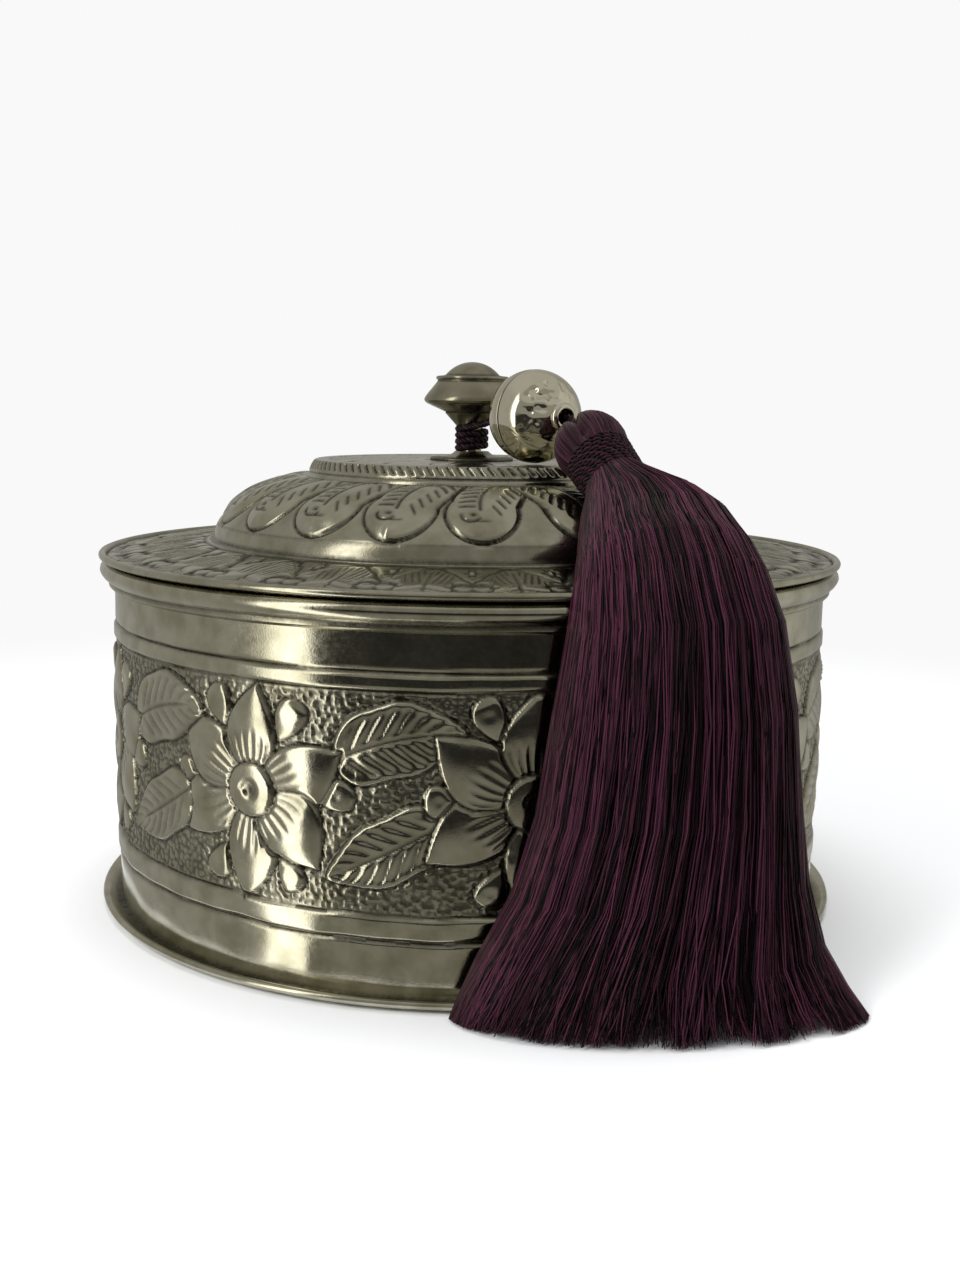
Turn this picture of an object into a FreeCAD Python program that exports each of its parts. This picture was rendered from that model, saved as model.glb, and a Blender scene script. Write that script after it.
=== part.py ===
# A round lidded box of chased white metal, with a turned knob from which a beaded silk tassel hangs.
# Millimetres. +Z is up, the origin is on the table under the box's axis, and the front is at -Y.
# Azimuths are measured from the front, -Y, towards +X.
import FreeCAD, Part
import math
import os
import re

import Sketcher

Vector = FreeCAD.Vector
UP = Vector(0, 0, 1)

# Driving sizes
SIZES = {
    "wall_radius": 96,
    "body_height": 92,
    "sheet_thick": 1,
    "base_thick": 1.2,
    "base_flange": 5,
    "base_flare": 1.2,
    "base_lip": 3.2,
    "base_lip_width": 1.5,
    "flange_channel": 1,
    "lower_line": 14.7,
    "relief_bottom": 21.1,
    "relief_top": 20.4,  # below the mouth
    "upper_line": 16,  # below the mouth
    "line_width": 1.4,
    "line_depth": 0.35,
    "ring_height": 7.4,
    "ring_overhang": 3.8,
    "ring_lip": 1.6,
    "ring_lip_height": 2.2,
    "seat_gap": 0.3,
    "brim_overhang": 4,
    "brim_edge": 2,
    "brim_roll": 1.8,
    "brim_rise": 3,
    "collar_depth": 12,
    "collar_gap": 0.6,
    "dome_foot_radius": 71.2,
    "dome_foot_width": 3.2,
    "dome_foot_thick": 0.9,
    "dome_radius": 69,
    "dome_ledge": 1.2,
    "dome_band": 4.9,
    "dome_height": 12.4,
    "dome_shoulder_radius": 59.6,
    "dome_shoulder_rise": 8.4,
    "dome_inset": 0.6,
    "dome_drop": 0.8,
    "leaf_rise": 1.1,
    "leaf_round": 24,
    "leaf_half_length": 12.6,
    "leaf_half_width": 7.7,
    "leaf_shift": 1.7,
    "leaf_pitch": 18.4,
    "left_leaf": 1.3,
    "right_leaf": 30,
    "crown_radius": 45,
    "crown_height": 4.6,
    "crown_batter": 1.4,
    "crown_round": 1.3,
    "crown_ledge": 4.5,
    "foot_radius": 11.4,
    "foot_height": 2.4,
    "foot_edge": 0.7,
    "foot_waist": 4.6,
    "foot_hollow_radius": 7,
    "foot_hollow_height": 1.1,
    "neck_radius": 2.6,
    "neck_height": 6.5,
    "knob_radius": 13.2,
    "knob_root_radius": 4,
    "knob_waist_radius": 7.3,
    "knob_waist_height": 4.3,
    "knob_equator_height": 7.7,
    "knob_round": 0.9,
    "knob_line": 0.4,
    "knob_collar_radius": 9.9,
    "knob_collar_height": 12.7,
    "knob_collar_thick": 1,
    "knob_top_height": 17.5,
    "cap_radius": 7.2,
    "stud_radius": 2,
    "thread_gap": 0.05,
    "stud_hold": 12,
    "stud_tail": 1.2,
    "washer_radius": 6,
    "washer_thick": 1,
    "nut_flats": 7,
    "nut_height": 3.2,
    "cord_diameter": 1.7,
    "cord_gap": 0.15,
    "cord_pitch": 1.75,
    "cord_turns": 2.26,
    "bead_azimuth": 35,
    "bead_reach": 28.6,
    "bead_radius": 12,
    "bead_wall": 0.8,
    "eyelet_bore": 2.1,
    "eyelet_radius": 2.9,
    "eyelet_flange": 3.7,
    "eyelet_stand": 1.1,
    "eyelet_shank": 1.4,
    "pivot_gap": 0.9,
    "pivot_stand": 1.8,
    "tassel_azimuth": 22.5,
    "tassel_dip": 31,
    "head_start": 5.6,
    "head_length": 14.9,
    "head_radius": 8.5,
    "head_mouth_radius": 3.3,
    "head_shoulder_radius": 7,
    "head_shoulder": 2.9,
    "head_hip_radius": 8.3,
    "head_hip": 11.1,
    "tassel_neck_radius": 7.2,
    "tassel_neck_length": 9.8,
    "knot_radius": 2.7,
    "knot_gap": 0.3,
    "binding_diameter": 0.8,
    "binding_gap": 0.15,
    "binding_pitch": 1.3,
    "binding_turns": 6,
    "drape_gap": 0.6,
    "drape_rise": 14,
    "hem_gap": 0.3,
    "hem_reach": 6,
    "hem_half_width": 46,
    "hem_half_depth": 20,
}

doc = FreeCAD.newDocument("tasselled_box")
sheet = doc.addObject("Spreadsheet::Sheet", "sizes")
for row, (alias, value) in enumerate(SIZES.items(), start=1):
    sheet.set(f"A{row}", alias)
    sheet.set(f"B{row}", str(value))
    sheet.setAlias(f"B{row}", alias)
doc.recompute()


def size(alias):
    """The number in one cell of the sheet."""
    return float(sheet.get(alias))


def bound(formula):
    """A formula in plain size names, written as the document's expressions need it."""

    def named(word):
        return f"sizes.{word[0]}" if word[0] in SIZES else word[0]

    return re.sub(r"[a-z]+(_[a-z]+)*", named, formula)


def number(formula):
    """What a formula comes to with the sizes that the sheet holds."""
    return float(sheet.evalExpression(bound(formula)))


# Levels and radii that several pieces share, as formulas in the sizes
BASE_RADIUS = "(wall_radius + base_flange)"
BORE_RADIUS = "(wall_radius - sheet_thick)"
RING_FOOT = "(body_height - ring_height)"
BRIM_UNDER = "(body_height + seat_gap)"
BRIM_RADIUS = "(wall_radius + brim_overhang)"
BRIM_ROLL_RADIUS = f"({BRIM_RADIUS} - brim_roll)"
BRIM_BORE = "(dome_foot_radius - dome_foot_width - 2 * sheet_thick)"
DOME_FOOT_BORE = "(dome_foot_radius - dome_foot_width)"
BAND_TOP = f"({BRIM_UNDER} + brim_rise + sheet_thick + dome_band)"
DOME_TOP = f"({BAND_TOP} + dome_height)"
CROWN_TOP = f"({DOME_TOP} + crown_height)"
CROWN_EDGE = "(crown_radius - crown_batter)"
FOOT_TOP = f"({CROWN_TOP} + foot_height)"
KNOB_ROOT = f"({FOOT_TOP} + neck_height)"
STUD_HOLE = "(stud_radius + thread_gap)"
NUT_FOOT = f"({CROWN_TOP} - sheet_thick - washer_thick - nut_height)"
BEAD_HEIGHT = f"({CROWN_TOP} + bead_radius + seat_gap)"
BEAD_BORE = "(eyelet_radius + thread_gap)"
PIVOT_REACH = "(bead_reach + bead_radius + eyelet_stand + pivot_stand)"
CORD_RADIUS = "(cord_diameter / 2)"
NECK_START = "(head_start + head_length)"
KNOT_CENTRE = "(head_start + head_length / 2)"


def brim_under_at(radius):
    """Height of the brim's coned underside at a radius."""
    share = f"({BRIM_ROLL_RADIUS} - {radius}) / ({BRIM_ROLL_RADIUS} - {BRIM_BORE})"
    return f"({BRIM_UNDER} + brim_rise * {share})"


def turned(label, outline):
    """A solid turned about its own Z axis. The outline runs round the half section: a corner is a
    radius and a height, and a corner with two more formulas ends an arc through that point."""
    body = doc.addObject("PartDesign::Body", label)
    sketch = body.newObject("Sketcher::SketchObject", f"{label}_outline")
    plane = next(feature for feature in body.Origin.OriginFeatures if feature.Role == "XZ_Plane")
    sketch.AttachmentSupport = [(plane, "")]
    sketch.MapMode = "FlatFace"

    def pin(edge, end, radius, height):
        for kind, formula, axis in (("DistanceX", radius, -2), ("DistanceY", height, -1)):
            if formula == "0":
                sketch.addConstraint(Sketcher.Constraint("PointOnObject", edge, end, axis))
            else:
                rule = Sketcher.Constraint(kind, -1, 1, edge, end, number(formula))
                sketch.setExpression(f"Constraints[{sketch.addConstraint(rule)}]", bound(formula))

    corners = [Vector(number(corner[0]), number(corner[1]), 0) for corner in outline]
    ends = []
    for index, (radius, height, *through) in enumerate(outline):
        start, end = corners[index - 1], corners[index]
        if through:
            middle = Vector(number(through[0]), number(through[1]), 0)
            edge = sketch.addGeometry(Part.Arc(start, middle, end), False)
            point = sketch.addGeometry(Part.Point(middle), True)
            pin(point, 1, *through)
            sketch.addConstraint(Sketcher.Constraint("PointOnObject", point, 1, edge))
        else:
            edge = sketch.addGeometry(Part.LineSegment(start, end), False)
        near, far = sketch.getPoint(edge, 1), sketch.getPoint(edge, 2)
        forward = near.distanceToPoint(start) < far.distanceToPoint(start)
        ends.append((edge, 1, 2) if forward else (edge, 2, 1))
        pin(edge, ends[-1][2], radius, height)
    for (edge, start, _), (before, _, end) in zip(ends, ends[-1:] + ends[:-1]):
        sketch.addConstraint(Sketcher.Constraint("Coincident", before, end, edge, start))
    turn = body.newObject("PartDesign::Revolution", f"{label}_turning")
    turn.Profile = sketch
    turn.ReferenceAxis = (sketch, ["V_Axis"])
    turn.Angle = 360
    return body


def aim(body, reach, azimuth, height, heading, dip):
    """Stand a turned solid's own origin at a reach, azimuth and height, with its axis along a heading."""
    body.setExpression("Placement.Base.x", bound(f"{reach} * sin({azimuth})"))
    body.setExpression("Placement.Base.y", bound(f"-{reach} * cos({azimuth})"))
    body.setExpression("Placement.Base.z", bound(height))
    body.setExpression("Placement.Rotation.Axis.x", bound(f"cos({heading})"))
    body.setExpression("Placement.Rotation.Axis.y", bound(f"sin({heading})"))
    body.setExpression("Placement.Rotation.Axis.z", "0")
    body.setExpression("Placement.Rotation.Angle", bound(f"90 + {dip}"))


# The box: a dished base plate, a rolled wall with four chased lines, and a moulded ring round its mouth
base_plate = turned("base_plate", [
    ("0", "0"),
    ("wall_radius - flange_channel", "0"),
    (f"{BASE_RADIUS} - base_lip_width / 2", "base_flare"),
    (f"{BASE_RADIUS} - base_lip_width / 2", "base_lip", BASE_RADIUS, "(base_flare + base_lip) / 2"),
    ("wall_radius + flange_channel", "base_thick"),
    ("0", "base_thick"),
])

wall_outline = [(BORE_RADIUS, "base_thick"), ("wall_radius", "base_thick")]
for line in ("lower_line", "relief_bottom", "(body_height - relief_top)", "(body_height - upper_line)"):
    wall_outline += [
        ("wall_radius", f"{line} - line_width / 2"),
        ("wall_radius", f"{line} + line_width / 2", "wall_radius - line_depth", line),
    ]
wall_outline += [("wall_radius", "body_height"), (BORE_RADIUS, "body_height")]
body_wall = turned("body_wall", wall_outline)

rim_ring = turned("rim_ring", [
    ("wall_radius", RING_FOOT),
    ("wall_radius + ring_lip", f"{RING_FOOT} + ring_lip_height / 2"),
    ("wall_radius + ring_lip", f"{RING_FOOT} + ring_lip_height"),
    ("wall_radius + ring_lip", "body_height",
     "wall_radius + ring_overhang", f"{RING_FOOT} + (ring_height + ring_lip_height) / 2"),
    ("wall_radius", "body_height"),
])

# The lid's sheet work: a coned brim with a rolled edge, the collar under it, the dome and its crown
lid_brim = turned("lid_brim", [
    (BRIM_BORE, brim_under_at(BRIM_BORE)),
    (BRIM_ROLL_RADIUS, BRIM_UNDER),
    (f"{BRIM_RADIUS} - brim_edge / 2", BRIM_UNDER),
    (f"{BRIM_RADIUS} - brim_edge / 2", f"{BRIM_UNDER} + brim_edge",
     BRIM_RADIUS, f"{BRIM_UNDER} + brim_edge / 2"),
    (BRIM_ROLL_RADIUS, f"{BRIM_UNDER} + sheet_thick"),
    (BRIM_BORE, f"{brim_under_at(BRIM_BORE)} + sheet_thick"),
])

COLLAR_RADIUS = f"({BORE_RADIUS} - collar_gap)"
COLLAR_BORE = f"({COLLAR_RADIUS} - sheet_thick)"
lid_collar = turned("lid_collar", [
    (COLLAR_BORE, "body_height - collar_depth"),
    (COLLAR_RADIUS, "body_height - collar_depth"),
    (COLLAR_RADIUS, brim_under_at(COLLAR_RADIUS)),
    (COLLAR_BORE, brim_under_at(COLLAR_BORE)),
])

DOME_SHOULDER = f"({BAND_TOP} + dome_shoulder_rise)"
DOME_FOOT = f"({brim_under_at('dome_foot_radius')} + sheet_thick)"
dome_sheet = turned("dome_sheet", [
    (DOME_FOOT_BORE, f"{brim_under_at(DOME_FOOT_BORE)} + sheet_thick"),
    ("dome_foot_radius", DOME_FOOT),
    ("dome_foot_radius", f"{DOME_FOOT} + dome_foot_thick"),
    ("dome_foot_radius - dome_ledge", f"{DOME_FOOT} + dome_foot_thick"),
    ("dome_radius", BAND_TOP),
    ("crown_radius + sheet_thick", DOME_TOP, "dome_shoulder_radius", DOME_SHOULDER),
    ("crown_radius - crown_ledge", DOME_TOP),
    ("crown_radius - crown_ledge", f"{DOME_TOP} - sheet_thick"),
    ("crown_radius", f"{DOME_TOP} - sheet_thick"),
    ("dome_radius - sheet_thick", BAND_TOP,
     "dome_shoulder_radius - dome_inset", f"{DOME_SHOULDER} - dome_drop"),
])


# The dome's border: leaves puffed up from its sheet, in two runs that meet tip to tip at the front
def along(heading, dip):
    """The unit vector along a heading, dipping below the level."""
    turn, fall = math.radians(heading), math.radians(dip)
    return Vector(math.sin(turn) * math.cos(fall), -math.cos(turn) * math.cos(fall), -math.sin(fall))


dome_edge = Part.Arc(
    Vector(size("dome_radius"), number(BAND_TOP), 0),
    Vector(size("dome_shoulder_radius"), number(DOME_SHOULDER), 0),
    Vector(number("crown_radius + sheet_thick"), number(DOME_TOP), 0)).toShape()
dome_round = dome_edge.Curve
halfway = dome_edge.valueAt((dome_edge.FirstParameter + dome_edge.LastParameter) / 2)
slant = (halfway - dome_round.Center).normalize()
dome_core = Part.makeTorus(
    dome_round.Center.x, dome_round.Radius - size("sheet_thick") / 2, UP * dome_round.Center.y)
# A leaf's outline, as shares of its half width and half length: each second point is in the middle of an arc,
# along one side from the tip, then round the foot, then along the other side
LEAF_OUTLINE = [(1.25, 1.05), (-0.26, 0.63), (-0.82, -0.18), (-0.16, -0.94),
                (0.88, -0.62), (1.42, 0.36), (1.25, 1.05)]
LEFT_LEAVES, RIGHT_LEAVES = 10, 9


def leaf(azimuth, lean):
    """One leaf on the dome, whose tip leans to greater azimuths, or with a lean of -1 to lesser ones."""
    outward, across = along(azimuth, 0), along(azimuth + 90, 0) * lean
    spot = outward * halfway.x + UP * halfway.y
    normal = outward * slant.x + UP * slant.y
    uphill = UP * slant.x - outward * slant.y
    half_width, half_length = size("leaf_half_width"), size("leaf_half_length")
    depth = half_length / 2
    corners = [spot - normal * depth + across * (half_width * x) + uphill * (half_length * y)
               for x, y in LEAF_OUTLINE]
    sides = [Part.Arc(*corners[first:first + 3]).toShape() for first in (0, 2, 4)]
    block = Part.Face(Part.Wire(sides)).extrude(normal * (2 * depth))
    puff_centre = spot + across * size("leaf_shift") - normal * (size("leaf_round") - size("leaf_rise"))
    return Part.makeSphere(size("leaf_round"), puff_centre).common(block).cut(dome_core)


leaves = [leaf(size("left_leaf") - size("leaf_pitch") * step, 1) for step in range(LEFT_LEAVES)]
leaves += [leaf(size("right_leaf") + size("leaf_pitch") * step, -1) for step in range(RIGHT_LEAVES)]
doc.recompute()
lid_dome = doc.addObject("Part::Feature", "lid_dome")
lid_dome.Shape = dome_sheet.Shape.fuse(leaves).Solids[0]

lid_crown = turned("lid_crown", [
    ("crown_radius - sheet_thick", DOME_TOP),
    ("crown_radius", DOME_TOP),
    (CROWN_EDGE, f"{CROWN_TOP} - crown_round"),
    (f"{CROWN_EDGE} - crown_round", CROWN_TOP,
     f"{CROWN_EDGE} - crown_round * (1 - sqrt(0.5))", f"{CROWN_TOP} - crown_round * (1 - sqrt(0.5))"),
    (STUD_HOLE, CROWN_TOP),
    (STUD_HOLE, f"{CROWN_TOP} - sheet_thick"),
    (f"{CROWN_EDGE} - crown_round", f"{CROWN_TOP} - sheet_thick"),
    (f"{CROWN_EDGE} - sheet_thick", f"{CROWN_TOP} - crown_round - sheet_thick / 2"),
])

# The knob: a flared foot, the turned knob on its slim neck, and the stud, washer and nut that hold it
knob_foot = turned("knob_foot", [
    (STUD_HOLE, CROWN_TOP),
    ("foot_radius", CROWN_TOP),
    ("foot_radius", f"{CROWN_TOP} + foot_edge"),
    ("foot_waist", FOOT_TOP, "foot_hollow_radius", f"{CROWN_TOP} + foot_hollow_height"),
    (STUD_HOLE, FOOT_TOP),
])

EQUATOR = f"({KNOB_ROOT} + knob_equator_height)"
KNOB_COLLAR = f"({KNOB_ROOT} + knob_collar_height)"
KNOB_TOP = f"({KNOB_ROOT} + knob_top_height)"
CAP_FOOT = f"({KNOB_COLLAR} + knob_collar_thick + knob_line)"
CAP_RISE = f"({KNOB_TOP} - {CAP_FOOT})"
CAP_BALL = f"((cap_radius ^ 2 + {CAP_RISE} ^ 2) / (2 * {CAP_RISE}))"
WAIST = f"({KNOB_ROOT} + knob_waist_height)"
COLLAR_ROOT = "(knob_collar_radius - knob_line)"
knob = turned("knob", [
    (STUD_HOLE, FOOT_TOP),
    ("neck_radius", FOOT_TOP),
    ("neck_radius", KNOB_ROOT),
    ("knob_root_radius", KNOB_ROOT),
    ("knob_waist_radius", WAIST),
    ("knob_waist_radius", f"{WAIST} + knob_line"),
    ("knob_radius - knob_line", f"{EQUATOR} - knob_round"),
    ("knob_radius - knob_line", f"{EQUATOR} + knob_round", "knob_radius", EQUATOR),
    (COLLAR_ROOT, f"{KNOB_COLLAR} - knob_line"),
    (COLLAR_ROOT, KNOB_COLLAR),
    (COLLAR_ROOT, f"{KNOB_COLLAR} + knob_collar_thick",
     "knob_collar_radius", f"{KNOB_COLLAR} + knob_collar_thick / 2"),
    ("cap_radius", CAP_FOOT),
    ("0", KNOB_TOP,
     "cap_radius / 2", f"{KNOB_TOP} - {CAP_BALL} + sqrt({CAP_BALL} ^ 2 - cap_radius ^ 2 / 4)"),
    ("0", f"{FOOT_TOP} + stud_hold"),
    (STUD_HOLE, f"{FOOT_TOP} + stud_hold"),
])

knob_stud = doc.addObject("Part::Cylinder", "knob_stud")
knob_stud.setExpression("Radius", bound("stud_radius"))
knob_stud.setExpression("Height", bound(f"{FOOT_TOP} + stud_hold - seat_gap - {NUT_FOOT} + stud_tail"))
knob_stud.setExpression("Placement.Base.z", bound(f"{NUT_FOOT} - stud_tail"))

knob_washer = turned("knob_washer", [
    (STUD_HOLE, f"{CROWN_TOP} - sheet_thick - washer_thick"),
    ("washer_radius", f"{CROWN_TOP} - sheet_thick - washer_thick"),
    ("washer_radius", f"{CROWN_TOP} - sheet_thick"),
    (STUD_HOLE, f"{CROWN_TOP} - sheet_thick"),
])

nut_block = doc.addObject("Part::Prism", "nut_block")
nut_block.Polygon = 6
nut_block.setExpression("Circumradius", bound("nut_flats / sqrt(3)"))
nut_block.setExpression("Height", bound("nut_height"))
nut_block.setExpression("Placement.Base.z", bound(NUT_FOOT))
nut_hole = doc.addObject("Part::Cylinder", "nut_hole")
nut_hole.setExpression("Radius", bound(STUD_HOLE))
nut_hole.setExpression("Height", bound("nut_height"))
nut_hole.setExpression("Placement.Base.z", bound(NUT_FOOT))
knob_nut = doc.addObject("Part::Cut", "knob_nut")
knob_nut.Base = nut_block
knob_nut.Tool = nut_hole

# The bead: two pressed half shells, with a turned eyelet in each hole, that spin on the cord
INNER_RADIUS = "(bead_radius - bead_wall)"
HOLE_EDGE = f"sqrt(bead_radius ^ 2 - {BEAD_BORE} ^ 2)"
half_shell = [
    (INNER_RADIUS, "0", f"{INNER_RADIUS} * sqrt(0.5)", f"{INNER_RADIUS} * sqrt(0.5)"),
    ("bead_radius", "0"),
    (BEAD_BORE, HOLE_EDGE, "bead_radius * sqrt(0.5)", "bead_radius * sqrt(0.5)"),
    (BEAD_BORE, f"sqrt({INNER_RADIUS} ^ 2 - {BEAD_BORE} ^ 2)"),
]
eyelet = [
    ("eyelet_bore", "bead_radius - eyelet_shank"),
    ("eyelet_radius", "bead_radius - eyelet_shank"),
    ("eyelet_radius", f"{HOLE_EDGE} + thread_gap"),
    ("eyelet_flange", f"{HOLE_EDGE} + thread_gap"),
    ("eyelet_bore", "bead_radius + eyelet_stand / 2",
     "(eyelet_bore + eyelet_flange * 2) / 3", "bead_radius + eyelet_stand * 0.75"),
]
bead_pieces = []
for side, heading in (("outer", "bead_azimuth"), ("inner", "(bead_azimuth + 180)")):
    for name, outline in (("half", half_shell), ("eyelet", eyelet)):
        piece = turned(f"bead_{side}_{name}", outline)
        aim(piece, "bead_reach", "bead_azimuth", BEAD_HEIGHT, heading, "0")
        bead_pieces.append(piece)


# The cord: wound on the knob's neck, then led off through the bead to the tassel
def tangent_arc(start, corner, end):
    """The arc from start to end whose tangents meet at a corner that is equally far from both."""
    middle = (start + end) * 0.5
    half_chord, leg = (end - start).Length / 2, (corner - start).Length
    return Part.Arc(start, middle + (corner - middle) * (half_chord / (leg + half_chord)), end).toShape()


def biarc(start, leaving, end, arriving):
    """Two arcs that run into each other, from one point and direction to another."""
    chord = end - start
    bend = 1 - leaving.dot(arriving)
    lean = chord.dot(leaving + arriving)
    leg = (math.sqrt(lean ** 2 + 2 * bend * chord.dot(chord)) - lean) / (2 * bend)
    first, second = start + leaving * leg, end - arriving * leg
    joint = (first + second) * 0.5
    return [tangent_arc(start, first, joint), tangent_arc(joint, second, end)]


def winding(radius, pitch, turns, first_azimuth, first_height):
    """Biarcs of a quarter turn or less round Z, with the end points and the directions there."""
    steps = math.ceil(turns * 4)
    points, headings = [], []
    for step in range(steps + 1):
        share = turns * step / steps
        azimuth = first_azimuth + 360 * share
        points.append(along(azimuth, 0) * radius + UP * (first_height + pitch * share))
        slope = math.degrees(math.atan2(pitch, 2 * math.pi * radius))
        headings.append(along(azimuth + 90, -slope))
    edges = []
    for step in range(steps):
        edges += biarc(points[step], headings[step], points[step + 1], headings[step + 1])
    return edges, points, headings


def tube(label, edges, diameter):
    """A round tube along edges that run into each other, with its least gap to itself printed."""
    path = Part.Wire(edges)
    start = edges[0].valueAt(edges[0].FirstParameter)
    heading = edges[0].tangentAt(edges[0].FirstParameter)
    shell = Part.BRepOffsetAPI.MakePipeShell(path)
    shell.add(Part.Wire(Part.makeCircle(diameter / 2, start, heading)))
    shell.build()
    shell.makeSolid()
    piece = doc.addObject("Part::Feature", label)
    piece.Shape = shell.shape()
    step = diameter / 8
    points = path.discretize(Distance=step)
    apart = math.ceil(math.pi * diameter / step)
    pairs = ((first, second) for index, first in enumerate(points) for second in points[index + apart:])
    gap = min((first - second).Length for first, second in pairs)
    full = math.pi * diameter ** 2 / 4 * path.Length
    print(f"{label}: length {path.Length:.1f}, least gap to itself {gap - diameter:.2f},",
          f"volume {piece.Shape.Volume / full:.4f} of section times length")
    return piece


cord_diameter = size("cord_diameter")
wind_radius = size("neck_radius") + size("cord_gap") + cord_diameter / 2
bead_height = number(BEAD_HEIGHT)
bead_entry = size("bead_reach") - size("bead_radius") - size("eyelet_stand")
exit_azimuth = size("bead_azimuth") - math.degrees(math.acos(wind_radius / bead_entry))
first_azimuth = exit_azimuth - 360 * size("cord_turns")
first_height = number(FOOT_TOP) + 2 * size("cord_gap") + cord_diameter / 2
turns, points, headings = winding(
    wind_radius, size("cord_pitch"), size("cord_turns"), first_azimuth, first_height)
lead = along(size("bead_azimuth"), 0)
entry = lead * bead_entry + UP * bead_height
lead_end = lead * (number(PIVOT_REACH) - size("pivot_gap")) + UP * bead_height
tail = Part.LineSegment(points[0] - headings[0] * cord_diameter, points[0]).toShape()
climb = biarc(points[-1], headings[-1], entry, lead)
run = Part.LineSegment(entry, lead_end).toShape()
knob_cord = tube("knob_cord", [tail] + turns + climb + [run], cord_diameter)

# The tassel's top: the knotted end of the cord inside the folded head, and the binding round the neck
KNOT_TOP = f"({KNOT_CENTRE} - sqrt(knot_radius ^ 2 - {CORD_RADIUS} ^ 2))"
tassel_tie = turned("tassel_tie", [
    ("0", "pivot_gap"),
    (CORD_RADIUS, "pivot_gap"),
    (CORD_RADIUS, KNOT_TOP),
    ("0", f"{KNOT_CENTRE} + knot_radius", "knot_radius", KNOT_CENTRE),
])

KNOT_ROOM = "(knot_radius + knot_gap)"
HEAD_BORE = f"({CORD_RADIUS} + knot_gap)"
tassel_head = turned("tassel_head", [
    (HEAD_BORE, "head_start"),
    ("head_mouth_radius", "head_start"),
    ("head_radius", KNOT_CENTRE, "head_shoulder_radius", "head_start + head_shoulder"),
    ("tassel_neck_radius", NECK_START, "head_hip_radius", "head_start + head_hip"),
    ("0", NECK_START),
    ("0", f"{KNOT_CENTRE} + {KNOT_ROOM}"),
    (HEAD_BORE, f"{KNOT_CENTRE} - sqrt({KNOT_ROOM} ^ 2 - {HEAD_BORE} ^ 2)", KNOT_ROOM, KNOT_CENTRE),
])
for piece in (tassel_tie, tassel_head):
    aim(piece, PIVOT_REACH, "bead_azimuth", BEAD_HEIGHT, "tassel_azimuth", "tassel_dip")

binding_diameter = size("binding_diameter")
binding_height = size("binding_pitch") * size("binding_turns")
turns, points, headings = winding(
    size("tassel_neck_radius") + size("binding_gap") + binding_diameter / 2,
    size("binding_pitch"), size("binding_turns"), 0,
    number(NECK_START) + (size("tassel_neck_length") - binding_height) / 2)
first_end = Part.LineSegment(points[0] - headings[0] * binding_diameter, points[0]).toShape()
last_end = Part.LineSegment(points[-1], points[-1] + headings[-1] * binding_diameter).toShape()
tassel_binding = tube("tassel_binding", [first_end] + turns + [last_end], binding_diameter)
doc.recompute()
tassel_binding.Placement = tassel_head.Placement


# The skirt: threads gathered in the neck, that drape over the brim and fan out on the table
def oval(centre, across, through, half_width, half_depth):
    """A four-arc oval: short arcs of 120 degrees at its ends and long arcs of 60 degrees on its faces."""
    spread = math.radians(30)
    excess = (half_width - half_depth) / (math.cos(spread) + math.sin(spread) - 1)
    end_radius = half_width - excess * math.sin(spread)
    end_centre = half_width - end_radius
    wide = end_centre + end_radius * math.sin(spread)
    deep = end_radius * math.cos(spread)
    corners = [(wide, -deep), (half_width, 0), (wide, deep), (0, half_depth),
               (-wide, deep), (-half_width, 0), (-wide, -deep), (0, -half_depth), (wide, -deep)]
    spots = [centre + across * x + through * y for x, y in corners]
    return Part.Wire([Part.Arc(*spots[first:first + 3]).toShape() for first in (0, 2, 4, 6)])


edge_radius = number(BRIM_RADIUS)
edge_top = number(f"{BRIM_UNDER} + brim_edge")
pivot = lead * number(PIVOT_REACH) + UP * bead_height
axis = along(size("tassel_azimuth"), size("tassel_dip"))
neck_across = along(size("tassel_azimuth") + 90, 0)
neck_start = pivot + axis * number(NECK_START)
neck_end = neck_start + axis * size("tassel_neck_length")
neck_radius = size("tassel_neck_radius")
sections = [oval(spot, neck_across, neck_across.cross(axis), neck_radius, neck_radius)
            for spot in (neck_start, neck_end)]
rise = size("drape_rise")
# Each row: share of the hem's reach beyond the brim's edge, height above the table, azimuth, facing, dip,
# and shares of the hem's half width and half depth
drape = [
    (-3.5, edge_top + rise, 32, 30, 30, 0.413, 0.5),
    (-1.667, edge_top + rise * 0.6, 29, 26, 32, 0.467, 0.54),
    (-0.333, edge_top + rise * 0.2, 27, 23, 50, 0.5, 0.65),
    (0.167, edge_top - rise * 0.57, 27, 22, 80, 0.565, 0.8),
    (0.333, edge_top * 0.66, 27, 21, 90, 0.652, 0.9),
    (0.5, edge_top * 0.38, 26, 18, 90, 0.717, 0.95),
    (0.667, edge_top * 0.15, 24, 13, 90, 0.87, 1),
    (1, size("hem_gap"), 24, 10, 90, 1, 0.95),
]
for beyond, height, azimuth, facing, dip, width, depth in drape:
    centre = along(azimuth, 0) * (edge_radius + beyond * size("hem_reach")) + UP * height
    across = along(facing + 90, 0)
    through = across.cross(along(facing, dip))
    half_width, half_depth = width * size("hem_half_width"), depth * size("hem_half_depth")
    sections.append(oval(centre, across, through, half_width, half_depth))
bundle = Part.makeLoft(sections, True, False, False, 3)

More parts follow.
